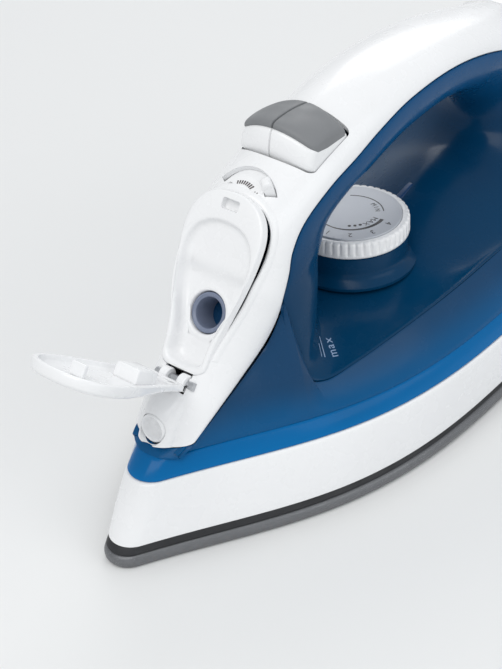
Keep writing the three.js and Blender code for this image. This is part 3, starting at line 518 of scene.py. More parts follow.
def stacked(rings, closed_profile):
    """A skin through rings, either closed into a band or with its two ends capped."""
    rings = np.array(rings)
    count, size = rings.shape[:2]
    faces = loft_faces(count, size, closed_profile)
    if not closed_profile:
        faces += [tuple(range(size))[::-1], tuple(range((count - 1) * size, count * size))]
    return rings.reshape(-1, 3), faces


# ---------------------------------------------------------------- sole, shield, skirt, band

HOLE_ROWS = [(22, 0), (36, 9), (56, 20), (78, 29), (102, 34), (126, 36), (150, 36)]
SOLE_EDGE = [(2.2, 0), (1.3, 0.2), (0.6, 0.8), (0.15, 1.6), (0, 2.5), (0.05, 3.3), (0.4, 4.1),
             (1.0, 4.7), (1.8, SOLE_TOP)]
sole = made("sole_plate", *stacked([plan_ring(inset(SOLE_PLAN, d), z) for d, z in SOLE_EDGE], False),
            LOOK["sole"], "housing", "sole_anthracite", 40)
holes = []
for behind, half in HOLE_ROWS:
    for side in ((0,) if half == 0 else (-1, 1)):
        mouth = [[0, -1], [2.6, -1], [2.2, 0.2], [1.6, 0.9], [1.6, 4.2], [0, 4.2]]
        holes.append(tool(*turned(mouth, at(behind, side * half, 0), segments=28)))
cut(sole, holes, 40)
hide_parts("soleplate")

SHIELD = [(1.4, 5.2), (1.2, 5.6), (2.2, 7.3), (2.8, 7.9), (8.8, 7.9), (8.8, 5.2)]
shield = made("shield_rim", *stacked([plan_ring(inset(SOLE_PLAN, d), z) for d, z in SHIELD], True),
              LOOK["shield"], "housing", "shield_black", 40)
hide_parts("heat_shield")

SKIRT_SIDE = [(0.6, 0), (0.15, 0.01), (0, 0.04), (-0.1, 0.2), (-0.3, 0.45), (-0.3, 0.7), (-0.1, 0.9),
              (0.05, 0.965), (0.3, 0.99), (0.8, 1), (2.4, 1), (2.4, 0)]
skirt_rings = []
for distance, f in SKIRT_SIDE:
    ring_plan = inset(between(SKIRT_FOOT, SKIRT_TOP, f), distance)
    skirt_rings.append(plan_ring(ring_plan, SKIRT_LOW + f * (SKIRT_HIGH - SKIRT_LOW)))
skirt = made("skirt_shell", *stacked(skirt_rings, True), LOOK["white"], "housing", "gloss_white", 40)
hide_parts("skirt")

BAND_SIDE = [(0.5, 0), (0.1, 0.05), (0, 0.15), (-0.2, 0.5), (-0.1, 0.85), (0.1, 0.95), (0.45, 1),
             (2.4, 1), (2.4, 0)]
band_rings = []
for distance, f in BAND_SIDE:
    ring_plan = inset(between(BASE_FOOT, BASE_TOP, f), distance)
    band_rings.append(plan_ring(ring_plan, BAND_LOW + f * (BAND_HIGH - BAND_LOW), TANK_REAR))
band = made("tank_band", *stacked(band_rings, True), LOOK["azure"], "housing", "azure_blue", 40)
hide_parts("tank_base")

# ---------------------------------------------------------------- the moulded shells

NOSE_SEAM = [(33.2, 12.6, 39.6), (42, 14.2, 46), (53.7, 15.6, 53.6), (66.8, 17.2, 63.1),
             (71.6, 18.6, 70.5)]
HANDLE_SEAM = [(73.4, 19.8, 77.5), (77.3, 19.5, 85), (79.8, 19.3, 92.3), (86, 19.2, 99.7),
               (101.5, 19.1, 107.2), (116.3, 19, 111.5), (131, 19, 116.4), (148, 19, 120.4),
               (176, 19, 121.4), (202, 19.2, 117), (222, 20, 110)]
UNDER_SEAM = [
    ((104.6, 84.5), (58, 7, 9), 48),
    ((107, 89.5), (54, 7, 2), 48),
    ((111, 94), (46, 7, -14), 47),
    ((118, 97.6), (33, 6, -26), 46),
    ((128, 100.2), (20, 5, -32), 45),
    ((138, 102.4), (13, 5, -36), 45),
    ((148, 103.8), (7, 5, -38), 44),
    ((160, 104.4), (3, 4, -38), 44),
    ((178, 104.3), (-1, 4, -36), 42),
    ((194, 100.5), (-9, 3, -32), 40),
    ((205, 92.5), (-18, 2, -22), 36),
]
OPENING = [
    station((190, 41, 55), (190, 71), (0, -30, 2), 40),
    station((165, 40.6, 52.2), (165, 64.3), (0, -30, 1), 40),
    station((140, 40.3, 51.2), (140, 57.2), (0, -30, 0), 40),
    station((115, 38.6, 50), (120, 54), (4, -28, -1), 38),
    station((93, 35.2, 47.6), (109, 54.5), (14, -24, 0), 34),
    station((79.5, 31.4, 45.8), (104.6, 59), (22, -16, 5), 34),
    station((73.9, 28.2, 48.6), (103, 65), (34, -7, 10), 38),
    station((74.8, 24.6, 57), (102.6, 71), (44, 0, 10), 42),
    station((74.4, 21.8, 68), (103, 78), (54, 4, 9), 46),
    *[station(edge, *shape) for edge, shape in zip(HANDLE_SEAM, UNDER_SEAM)],
    station((229.5, 22.5, 98), (211.5, 84), (-20, 0, -8), 34),
    station((226, 28.5, 80), (209.5, 76.5), (-14, -14, -6), 36),
    station((213, 37, 64), (202, 72.6), (-6, -24, 0), 38),
]
OVER_NOSE = [((24.8, 38), (-10, 4, -3), 16), ((29.6, 48.5), (-13, 5, 3), 20),
             ((37.5, 59), (-17, 5, 9), 26), ((46.2, 73), (-20, 5, 13), 32),
             ((52.6, 83.4), (-20, 5, 14), 34)]
OVER_HANDLE = [
    ((57.4, 91.2), (-18, 5, 15), 36), ((62.6, 99.6), (-14, 5, 17), 36),
    ((69.2, 107.8), (-10, 4, 16), 36), ((77.6, 112.8), (-7, 3, 14), 36),
    ((95, 120), (-5, 3, 13), 36), ((112, 126.2), (-4, 3, 14), 34), ((129, 130), (-2, 3, 13), 33),
    ((147, 131.6), (-1, 3, 11), 32), ((177, 131), (0, 3, 10), 32), ((206, 127), (3, 3, 10), 32),
    ((230, 121.4), (6, 3, 11), 32),
]


def lifted(seam):
    return [(behind - 0.35, y, z + 0.45) for behind, y, z in seam]


opening_rows = patch(OPENING, 300, 40, True)
opening_rings = shell_rings(opening_rows, WALL, True, -1)
body = made("body_shell", opening_rings.reshape(-1, 3),
            loft_faces(len(opening_rings), opening_rings.shape[1], True),
            LOOK["body"], "housing", "tank_blue", 40)
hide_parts("upper_body")

DIAL_BEHIND = 137.5
dial_at = at(DIAL_BEHIND, 0, 0)
BOSS = [[16.5, 66.2], [20.4, 66.2], [20.9, 65.8], [21, 60], [21.3, 58.4], [22.2, 57.2], [24.5, 55.6],
        [24.5, 54.5], [16.5, 54.5], [16.5, 66.2]]
boss = made("dial_boss", *turned(BOSS, dial_at, segments=96), LOOK["body"], "housing", "tank_blue")

COVER = [
    *[station(edge, *shape) for edge, shape in zip(lifted(NOSE_SEAM), OVER_NOSE)],
    *[station(edge, *shape) for edge, shape in zip(lifted(HANDLE_SEAM), OVER_HANDLE)],
]
HOOD = {"half": 7.2, "height": 3.4, "high": 58, "fade": 12}


def smoothstep(low, high, value):
    t = np.clip((value - low) / (high - low), 0, 1)
    return t * t * (3 - 2 * t)


def hooded(rows):
    """The nose face with the raised hood round the spray nozzle."""
    n = normals(rows, False, 1)
    y, z, x = rows[..., 1], rows[..., 2], rows[..., 0]
    across = np.clip(1 - (y / HOOD["half"])**2, 0, 1)**0.62
    rise = 1 - smoothstep(HOOD["high"] - HOOD["fade"], HOOD["high"], z)
    ahead = smoothstep(NOSE_X - 62, NOSE_X - 46, x)
    return rows + n * (HOOD["height"] * across * rise * ahead)[..., None]


cover_rows = hooded(patch(COVER, 280, 44, False))
cover_rings = shell_rings(cover_rows, WALL, False, 1)
cover_size = cover_rings.shape[1]
outer_count = cover_size - cover_rows.shape[1]
cover = made("top_cover", cover_rings.reshape(-1, 3),
             loft_faces(len(cover_rings), cover_size, False)
             + end_strips(len(cover_rings), cover_size, outer_count),
             LOOK["white"], "housing", "gloss_white", 40)
cover_tree = BVHTree.FromPolygons(
    cover_rows.reshape(-1, 3).tolist(),
    [(i * cover_rows.shape[1] + j, (i + 1) * cover_rows.shape[1] + j,
      (i + 1) * cover_rows.shape[1] + j + 1, i * cover_rows.shape[1] + j + 1)
     for i in range(len(cover_rows) - 1) for j in range(cover_rows.shape[1] - 1)])

# ---------------------------------------------------------------- directions on the nose and handle


def leaning(degrees):
    a = math.radians(degrees)
    return np.array([math.sin(a), 0, math.cos(a)])


def placer(origin, along, out):
    side = np.array([0, 1, 0])
    return lambda u, y, w: origin + along * u + side * y + out * w


CROWN, BUTTON_HALF, CORNER, BOW = 5.6, 15.4, 2.2, 3.0
NOSE_SLOPE, SEAT_SLOPE, LEVER_SLOPE, LID_ANGLE = 58.2, 18.8, 26.0, 34.0
hinge_at = at(38.4, 0, 56.9)
face_out = leaning(NOSE_SLOPE)
face_up = np.array([-face_out[2], 0, face_out[0]])
on_face = placer(hinge_at, face_up, face_out)
seat_out = leaning(SEAT_SLOPE)
on_seat = placer(at(91.6, 0, 118.2), np.array([-seat_out[2], 0, seat_out[0]]), seat_out)
lever_out = leaning(LEVER_SLOPE)
on_lever = placer(at(72.9, 0, 109.9), np.array([-lever_out[2], 0, lever_out[0]]), lever_out)
lid_along = np.array([math.cos(math.radians(LID_ANGLE)), 0, math.sin(math.radians(LID_ANGLE))])
lid_out = np.array([lid_along[2], 0, -lid_along[0]])
on_lid = placer(hinge_at, lid_along, lid_out)


def surface_point(place, u, y, proud):
    """The cover's outer surface straight below a point over a seat plane, moved out a little."""
    start, down = place(u, y, 20.0), unit(place(u, y, 0) - place(u, y, 20.0))
    hit, normal, _, _ = cover_tree.ray_cast(Vector(start), Vector(down))
    if hit is None:
        return np.array(place(u, y, 0.0))
    normal = np.array(normal)
    if normal.dot(down) > 0:
        normal = -normal
    return np.array(hit) + normal * proud


def pear(start, end, low_half, high_half, detail=26):
    shoulder = end - high_half * 0.95
    half = np.vstack([
        [[start, 0]],
        bezier((start, 0), (start, low_half * 0.7), (start + 1, low_half), (start + 5, low_half),
               detail // 2),
        bezier((start + 5, low_half), (start + 16, low_half), (shoulder - 16, high_half),
               (shoulder, high_half), detail),
        bezier((shoulder, high_half), (end - high_half * 0.3, high_half), (end, high_half * 0.6),
               (end, 0), detail),
    ])
    return np.vstack([half, half[-2:0:-1] * [1, -1]])


def recess_outline(gap):
    return pear(3.6 + gap, 57.5 - gap, 9.4 - gap, 15.9 - gap)


def lid_outline(gap):
    return pear(3.2 + gap, 65.6 - gap, 9.4 - gap, 15.9 - gap)


def rounded_rectangle(u0, u1, y0, y1, r, steps=6):
    points = []
    corners = ((u1 - r, y1 - r, 0), (u0 + r, y1 - r, 90), (u0 + r, y0 + r, 180), (u1 - r, y0 + r, 270))
    for cu, cy, start in corners:
        for i in range(steps + 1):
            a = math.radians(start + 90 * i / steps)
            points.append((cu + r * math.cos(a), cy + r * math.sin(a)))
    return points


def bowed(y):
    """How far the front of the buttons draws back away from the middle."""
    return BOW * (y / BUTTON_HALF)**2


def pocket_outline(gap):
    half = BUTTON_HALF + gap
    corners = rounded_rectangle(0, 25.5, -half, half, CORNER)
    front = [(bowed(y) - 0.4 - gap, y) for y in np.linspace(-half + CORNER, half - CORNER, 15)]
    shifted = [(u + (bowed(y) - 0.4 - gap if u < CORNER + 0.01 else 0), y) for u, y in corners]
    head = [p for p in shifted if p[0] > 10]
    left_front = [p for p in shifted if p[0] <= 10 and p[1] > 0]
    right_front = [p for p in shifted if p[0] <= 10 and p[1] < 0]
    upper = [p for p in head if p[1] > 0]
    lower = [p for p in head if p[1] < 0]
    return upper + left_front + front[::-1][1:-1] + right_front + lower


def arc_outline(inner, outer, low, high, steps=40):
    angles = np.radians(np.linspace(low, high, steps + 1))
    far = [(outer * math.cos(a), outer * math.sin(a)) for a in angles]
    near = [(inner * math.cos(a), inner * math.sin(a)) for a in angles[::-1]]
    return far + near


LEVER_RADIUS, LEVER_SWEEP, KNOB_ANGLE = 12.4, 56, 44
nozzle_axis = np.array([math.cos(0.12), 0, math.sin(0.12)])
nozzle_at = at(27.6, 0, 43.6)
cut(cover, [
    tool(*prism(lid_outline(-0.3), -16, 14, on_face)),
    tool(*cushioned(2.2, 14, -9.9, 9.9, -0.6, 14, on_face, 0.5)),
    tool(*rod(3.8, -5.9, 5.9, hinge_at, (0, 1, 0))),
    tool(*prism([(0, -5.9), (9, -5.9), (9, 5.9), (0, 5.9)], -1.4, 3.2, on_lid)),
    tool(*prism(pocket_outline(0.3), -12, 14, on_seat)),
    tool(*prism(arc_outline(LEVER_RADIUS - 2, LEVER_RADIUS + 2, -LEVER_SWEEP, LEVER_SWEEP), -7, 7,
                on_lever)),
    tool(*rod(5.4, -16, 14, nozzle_at, nozzle_axis, 48)),
], 40)
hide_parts("handle_cover")

# ---------------------------------------------------------------- the tank's wall

TANK = [
    ((21.8, 0), (25.6, 0, 37.4)), ((22.7, 5), (27, 7, 37.9)), ((27, 11), (33, 12.4, 39)),
    ((37, 16.6), (42, 14, 45.6)), ((48, 22.6), (53.8, 15.6, 53)), ((60, 29.2), (66.8, 17.2, 62.4)),
    ((66, 32), (72, 18.9, 72)), ((69.5, 33.5), (73.2, 20, 76.6)), ((72, 34.6), (74.7, 22.6, 65)),
    ((75, 35.8), (74.9, 25.4, 55.4)), ((79, 37.3), (75.2, 29, 46.9)), ((85, 39.4), (80, 31.9, 45.2)),
    ((94, 42), (93, 35.5, 47)), ((115, 46.8), (115, 38.9, 49.4)), ((140, 50), (140, 40.6, 50.6)),
    ((165, 50.8), (165, 40.9, 51.6)), ((190, 48.9), (190, 41.2, 54.4)), ((203, 46.4), (201, 40.3, 57.6)),
    ((206.8, 43), (206.5, 37, 59.6)), ((206.8, 23), (206.8, 18, 67)), ((206.8, 0), (206.8, 0, 69)),
]
PEAK = 7
FRONT_STEPS, BACK_STEPS, TANK_UP = 90, 190, 20


def tank_rows():
    bases = [(b, y, BAND_HIGH + 0.05) for (b, y), _ in TANK]
    tops = [top for _, top in TANK]
    edge = plan_half(inset(BASE_TOP, 0.45))
    half = []
    for i in range(FRONT_STEPS + BACK_STEPS + 1):
        if i <= FRONT_STEPS:
            f = i / FRONT_STEPS
            top = spline(tops[:PEAK + 1], f)
            place = f * PEAK
        else:
            f = (i - FRONT_STEPS) / BACK_STEPS
            top = spline(tops[PEAK:], f)
            place = PEAK + f * (len(TANK) - 1 - PEAK)
        base = spline(bases, place / (len(TANK) - 1))
        if 27 < base[0] < TANK_REAR - 4:
            base[1] = np.interp(base[0], edge[:, 0], edge[:, 1])
        base[1] = max(base[1], 0)
        low, high = at(*base), at(*top)
        bulge = 0.045 * np.linalg.norm(high - low)
        side = unit([0.3 if base[0] < 60 else 0, 1 if base[1] > 3 else base[1] / 3, 0.35])
        t = np.linspace(0, 1, TANK_UP)[:, None]
        half.append(low * (1 - t) + high * t + side * bulge * 4 * t * (1 - t) * 0.6)
    half = np.array(half)
    return np.concatenate([half, half[-2:0:-1] * [1, -1, 1]])


wall_rows = tank_rows()
wall_rings = shell_rings(wall_rows, WALL, True, 1, 0.3)
tank = made("tank_wall", wall_rings.reshape(-1, 3),
            loft_faces(len(wall_rings), wall_rings.shape[1], True), LOOK["tank"], "housing",
            "tank_blue", 40)
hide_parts("water_tank")

# ---------------------------------------------------------------- the back

HEEL = {"behind": 238, "z": 30, "lean": math.radians(17)}
BACK_SLICES = [
    (28.6, 207.3, 50, 0.9), (36, 207.3, 46.3, 0.9), (47, 207.3, 43, 0.88), (59, 207.3, 40.4, 0.86),
    (64.5, 214, 37.2, 0.86), (72, 222.5, 32.8, 0.86), (81, 227.2, 28.6, 0.86),
    (98, 230.4, 22.9, 0.84), (106, 229, 20.8, 0.82), (112, 229, 18.6, 0.8), (117.6, 231, 13.6, 0.75),
    (120.6, 233, 7, 0.7),
]


def heel_behind(z):
    return HEEL["behind"] + (z - HEEL["z"]) * math.tan(HEEL["lean"])


def soft_least(a, b, width):
    h = np.clip(0.5 + 0.5 * (b - a) / width, 0, 1)
    return b * (1 - h) + a * h - width * h * (1 - h)


heel_rings = []
for i in range(70):
    z, front, half, roundness = spline([(*s,) for s in BACK_SLICES], i / 69)
    rear = min(heel_behind(z) + 6, 272 - max(z - 104, 0) * 1.1)
    left = bezier((front, half), (front + (rear - front) * roundness, half),
                  (rear, half * roundness), (rear, 0), 44)
    left = np.vstack([[[front, half]], left])
    left[:, 0] = soft_least(left[:, 0], heel_behind(z), 2.4)
    ring = np.array([at(b, y, z) for b, y in left])
    heel_rings.append(np.vstack([ring, ring[-2::-1] * [1, -1, 1]]))
heel = made("heel_cover", *stacked(heel_rings, False), LOOK["white"], "housing", "gloss_white", 40)
heel_axis = np.array([-math.cos(HEEL["lean"]), 0, -math.sin(HEEL["lean"])])


def heel_point(y, z):
    return at(heel_behind(z), y, z)


gland_axis = np.array([-math.sin(0.62), 0, math.cos(0.62)])
gland_at = at(247, 0, 108)
cut(heel, [
    tool(*rod(6.3, -4, 30, gland_at, gland_axis, 48)),
    tool(*rod(3.6, -6, 3, heel_point(0, 40), heel_axis)),
    *[tool(*rod(5.3, -1.2, 3, heel_point(side * 22, 36), heel_axis, 40)) for side in (-1, 1)],
], 40)
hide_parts("rear_cover")
for node, side in (("heel_foot_left", 1), ("heel_foot_right", -1)):
    foot = made(node.replace("heel_foot", "rest_foot"),
                *turned([[0, -1], [5, -1], [5, -0.3], [4.6, 0], [0, 0]],
                        heel_point(side * 22, 36), heel_axis, 40),
                LOOK["gland"], "housing", "black_rubber", 40)
    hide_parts(node)
GLAND = [[0, 3], [5.9, 3], [5.9, 17], [7.2, 17.2], [7.6, 17.6], [7.6, 19.2], [7.2, 19.6],
         [6.6, 19.8], [6.4, 21.2], [5.9, 21.4], [5.8, 22.8], [5.4, 23], [5.2, 25.4], [4.8, 26],
         [3.9, 26], [3.9, 4], [0, 4]]
gland = made("cable_gland", *turned(GLAND, gland_at, gland_axis, 56), LOOK["gland"], "gland",
             "black_rubber", 30)
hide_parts("cord_gland")
screw = made("heel_screw", *turned([[0, -14], [1.5, -14], [1.5, -3], [3.3, -3], [3.3, -1.5], [2.7, -0.7],
                                    [0, -0.6]], heel_point(0, 40), heel_axis, 32),
             LOOK["steel"], "housing", "steel", 30)
cut(screw, [tool(*cushioned(-2, 2, -0.4, 0.4, -1.6, 0.5, placer(
    heel_point(0, 40), np.array([heel_axis[2], 0, -heel_axis[0]]) * turn_side[0]
    + np.array([0, 1.0, 0]) * turn_side[1], heel_axis), 0.1, 2))
    for turn_side in ((1, 0),)], 30)
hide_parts("rear_cover_screw")

# ---------------------------------------------------------------- filler bowl, neck seal and lid

NECK_UP, NECK_RADIUS = 24.0, 7.45


def neck_circle(radius, like):
    """Points on a circle round the neck that match an outline's own spread of directions."""
    d = like - [NECK_UP + 3, 0]
    a = np.arctan2(d[:, 1], d[:, 0])
    return np.stack([NECK_UP + radius * np.cos(a), radius * np.sin(a)], 1)


def bowl_depth(up):
    """The floor drops from a shelf near the top of the bowl to the flat round the neck."""
    return -6.2 + 2.3 * smoothstep(35.5, 40.5, up) + 0.8 * smoothstep(41, 55, up)


bowl_rings = []
for gap, depth in ((-0.28, -4.0), (-0.28, -1.2), (-0.1, -0.8), (0.4, -0.6)):
    bowl_rings.append([on_face(u, y, depth) for u, y in lid_outline(gap)])
for f in (0.5, 1.0):
    edge = lid_outline(0.6) * (1 - f) + recess_outline(0.8) * f
    bowl_rings.append([on_face(u, y, -0.6) for u, y in edge])
floor_edge = recess_outline(4.4)
for gap, f in ((1.2, 0.02), (1.6, 0.12), (1.9, 0.3), (2.2, 0.6), (2.7, 0.82), (3.4, 0.94), (4.4, 1)):
    bowl_rings.append([on_face(u, y, -0.6 + f * (bowl_depth(u) + 0.6)) for u, y in recess_outline(gap)])
rim_circle = neck_circle(10.2, floor_edge)
for f in np.linspace(0.1, 1, 10):
    edge = floor_edge * (1 - f) + rim_circle * f
    bowl_rings.append([on_face(u, y, bowl_depth(u)) for u, y in edge])
for radius, depth in ((9.4, -6.2), (9.0, -6.0), (8.2, -5.9), (7.7, -6.1), (NECK_RADIUS, -6.6),
                      (NECK_RADIUS, -20), (9.2, -20), (9.6, -8.4)):
    bowl_rings.append([on_face(u, y, depth) for u, y in neck_circle(radius, floor_edge)])
bowl_rings.append([on_face(u, y, -8.4) for u, y in lid_outline(3)])
bowl_rings.append([on_face(u, y, -4.0) for u, y in lid_outline(0.0)])
bowl = made("filler_bowl", *stacked(bowl_rings, True), LOOK["white"], "housing", "gloss_white", 50)
cut(bowl, [
    tool(*rod(3.8, -5.9, 5.9, hinge_at, (0, 1, 0))),
    tool(*cushioned(59.6, 63.4, -3.6, 3.6, -3.4, 2, on_face, 0.8)),
], 50)
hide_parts("filler_tray")
SEAL = [[5.2, -18], [7.1, -18], [7.1, -7.4], [6.9, -6.9], [6.4, -6.8], [5.5, -7.3], [5.2, -8.2],
        [5.2, -18]]
seal = made("neck_ring", *turned(SEAL, on_face(NECK_UP, 0, 0), face_out, 72), LOOK["seal"], "housing",
            "seal_rubber")
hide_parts("filler_neck_seal")
# A disc of the tank's blue closes the neck at its foot: painted shade standing in for the shaded inside
# of the tank.
painted_neck_shade = made("neck_shade_disc", *turned([[0, -17.6], [5.3, -17.6], [5.3, -17.2], [0, -16.4]],
                                        on_face(NECK_UP, 0, 0), face_out, 40),
                 LOOK["tank"], "housing", "tank_blue")

BEAD_SECTION = [(-0.25, -1.2), (-0.2, 0.0), (0.15, 0.32), (0.7, 0.46), (1.5, 0.4), (2.3, 0.16),
                (2.9, -0.1), (3.2, -4.5), (1.4, -4.5)]
bead_path = []
outline = lid_outline(-0.55)
for i, (u, y) in enumerate(outline):
    before, after = outline[i - 1], outline[(i + 1) % len(outline)]
    tangent = unit(np.append(after - before, 0))
    side = np.array([tangent[1], -tangent[0]])
    if side.dot(np.array([u - 36, y])) < 0:
        side = -side
    if u < 9:
        continue
    here = surface_point(on_face, u, y, 0)
    there = surface_point(on_face, u + side[0] * 3, y + side[1] * 3, 0)
    outward = unit(there - here)
    along = unit(surface_point(on_face, *after, 0) - surface_point(on_face, *before, 0))
    up = np.cross(outward, along)
    up = unit(up if up.dot(face_out) > 0 else -up)
    bead_path.append((here, outward, up))
first = next(i for i, ((p, _, _), (q, _, _)) in enumerate(zip(bead_path, bead_path[1:]))
             if np.linalg.norm(p - q) > 6) + 1 if any(
    np.linalg.norm(p[0] - q[0]) > 6 for p, q in zip(bead_path, bead_path[1:])) else 0
bead_path = bead_path[first:] + bead_path[:first]
bead = made("filler_rim", *swept(bead_path, BEAD_SECTION, False), LOOK["white"], "housing",
            "gloss_white", 60)


def lid_ring(gap, out, sag=0.0):
    """One ring of the lid; sag lowers it towards the hinge, where the spoon narrows."""
    return [on_lid(u, y, out + sag * (1 - smoothstep(10, 46, u))) for u, y in lid_outline(gap)]


LID_SIDE = [(7.6, 2.3, -1), (5, 2.2, -1), (3.4, 1.8, -0.8), (2.5, 1.1, -0.4), (2.2, 0.2, 0),
            (1.9, -0.24, 0), (1.3, -0.34, 0), (0.7, -0.24, 0), (0.4, 0.05, 0), (0.3, 0.5, 0),
            (0.35, 2.6, -1.2), (0.7, 3.4, -1.6), (1.5, 3.9, -1.7), (3.2, 4.2, -1.7),
            (5.4, 4.35, -1.7), (7.6, 4.4, -1.7)]
lid_rings = np.array([lid_ring(gap + 0.05, out, sag) for gap, out, sag in LID_SIDE])
lid_count, lid_size = lid_rings.shape[:2]
lid_faces = loft_faces(lid_count, lid_size, False)
for base in (0, (lid_count - 1) * lid_size):
    for j in range(1, lid_size // 2 - 1):
        lid_faces.append((base + j, base + j + 1, base + lid_size - j - 1, base + lid_size - j))
    half_way = lid_size // 2
    lid_faces.append((base, base + 1, base + lid_size - 1))
    lid_faces.append((base + half_way - 1, base + half_way, base + half_way + 1))
lid_parts = [
    (lid_rings.reshape(-1, 3), lid_faces),
    *[turned([[0, lo], [2.8, lo], [3.1, lo + 0.3], [3.1, hi - 0.3], [2.8, hi], [0, hi]], hinge_at,
             (0, 1, 0), 40) for lo, hi in ((-5.5, -2.3), (2.3, 5.5))],
    cushioned(0.5, 9, -5.5, -2.3, 0.2, 2.9, on_lid, 0.5),
    cushioned(0.5, 9, 2.3, 5.5, 0.2, 2.9, on_lid, 0.5),
    cushioned(4.2, 9, -5.5, 5.5, 0.2, 2.9, on_lid, 0.8),
    cushioned(17, 28, -5, 5, -3.2, 2, on_lid, 0.7),
    cushioned(51, 53, -3, 3, -2.6, 2, on_lid, 0.6),
]
lid = made("spoon_lid", *merged(*lid_parts), LOOK["white"], "lid", "gloss_white", 40)
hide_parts("filler_lid")

# ---------------------------------------------------------------- spray nozzle

NOZZLE = [[0, -7], [5.2, -7], [5.2, 1.9], [5.0, 2.5], [4.6, 2.7], [4.2, 2.4], [3.9, 1.2], [3.2, 0.1],
          [1.8, -0.4], [1.1, -0.5], [0.6, -1.1], [0, -1.1]]
nozzle = made("nozzle_body", *turned(NOZZLE, nozzle_at, nozzle_axis, 64), LOOK["white"], "housing",
              "gloss_white", 50)
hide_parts("spray_nozzle", "nozzle_tip")

# ---------------------------------------------------------------- the two pump buttons

PAD_SIDE = [(94.5, 127.2, 1, 1), (94.25, 127.7, 1, 1), (94.35, 128.5, 1, 1), (94.9, 129.1, 1, 1),
            (96, 129.5, 1, 1), (98, 129.8, 1, 0.9), (102, 130, 1, 0.7), (106, 129.9, 1, 0.5),
            (110, 129.5, 1, 0.2), (112.6, 129.1, 1, 0), (114.2, 128.5, 1, 0), (115, 127.7, 1, 0),
            (115.1, 126.9, 1, 0), (104, 126.6, 1, 0.5)]
CAP_SIDE = [(95, 112.2, 0, 1), (93.2, 115.4, 0.2, 1), (92.1, 118.6, 0.5, 1), (92.2, 121, 0.7, 1),
            (92.7, 124, 0.9, 1), (93.5, 126.4, 1, 1), (94.2, 127.1, 1, 1), (104, 126.9, 1, 0.5),
            (114.6, 126.6, 1, 0), (115.4, 126.1, 1, 0), (115.9, 123, 0.5, 0), (116.2, 119.3, 0, 0)]


def button_body(side_outline, inner, outer, side, edge_round):
    """A side outline carried across, falling with the crown and rounded off at its outer end."""
    stations = [inner, inner + 0.25, *np.linspace(inner + 0.9, outer - edge_round, 16),
                *[outer - edge_round * (1 - math.sin(math.radians(a))) for a in (20, 40, 60, 78, 90)]]
    middle = np.mean([p[0] for p in side_outline])
    rings = []
    for k, y in enumerate(stations):
        drop = CROWN * (y / BUTTON_HALF)**2
        past = max(y - (outer - CORNER), 0)
        pull = CORNER - math.sqrt(max(CORNER**2 - past**2, 0))
        shrink = 0.25 if k == 0 else 0.0
        over = max(y - (outer - edge_round), 0) / edge_round
        top_fall = 0.7 * edge_round * (1 - math.sqrt(max(1 - over**2, 0)))
        ring = []
        for point in side_outline:
            behind, z, falls, bows = point
            behind += bowed(y) * bows
            draws = pull if behind < middle else 0.45 * pull
            inward = np.sign(middle - behind) * min(draws, abs(middle - behind))
            ring.append(at(behind + inward * 0.9 + np.sign(middle - behind) * shrink, side * y,
                           z - drop * falls - falls * (top_fall + shrink)))
        rings.append(ring)
    return stacked(rings, False)


for name, side in (("spray", 1), ("steam", -1)):
    cap = made(f"{name}_cap", *button_body(CAP_SIDE, 0.22, BUTTON_HALF, side, 0.8), LOOK["white"],
               f"{name}_key", "gloss_white", 50)
    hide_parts(f"{name}_button")
    pad = made(f"{name}_pad", *button_body(PAD_SIDE, 0.3, BUTTON_HALF + 0.05, side, 1.2), LOOK["pad"],
               f"{name}_key", "pad_grey", 50)
    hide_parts(f"{name}_button_pad")

# ---------------------------------------------------------------- steam lever

track_outline = arc_outline(LEVER_RADIUS - 2.6, LEVER_RADIUS + 2.6, -LEVER_SWEEP - 2, LEVER_SWEEP + 2)
under = [surface_point(on_lever, u, y, -3.4) for u, y in track_outline]
over = [surface_point(on_lever, u, y, -2.1) for u, y in track_outline]
n = len(track_outline)
quads = [(j, j + 1, n - 2 - j, n - 1 - j) for j in range(n // 2 - 1)]
track_faces = [(j, (j + 1) % n, n + (j + 1) % n, n + j) for j in range(n)]
track_faces += [q[::-1] for q in quads] + [tuple(i + n for i in q) for q in quads]
track = made("lever_track", under + over, track_faces, LOOK["white"], "housing", "gloss_white")

KNOB_HALF = 9.0
knob_rings = []
for low, high, w in ((-1.3, 1.3, -6), (-1.35, 1.35, 2.6), (-1.1, 1.1, 3.3), (-0.7, 0.7, 3.6)):
    shrink = 0 if w < 3 else (3.2 if w > 3.5 else 1.2)
    outline = arc_outline(LEVER_RADIUS + low * 1.2, LEVER_RADIUS + high * 1.2,
                          KNOB_ANGLE - KNOB_HALF + shrink, KNOB_ANGLE + KNOB_HALF - shrink, 12)
    knob_rings.append([on_lever(u, y, w) for u, y in outline])
arm = prism(arc_outline(1.6, LEVER_RADIUS + 1.6, KNOB_ANGLE - 9, KNOB_ANGLE + 9, 12), -6.4, -5,
            on_lever)
knob = made("lever_knob", *merged(stacked(knob_rings, False), arm,
                                  rod(2.4, -7, -5, on_lever(0, 0, 0), lever_out)),
            LOOK["white"], "lever", "gloss_white", 40)
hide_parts("steam_lever")

# ---------------------------------------------------------------- temperature dial

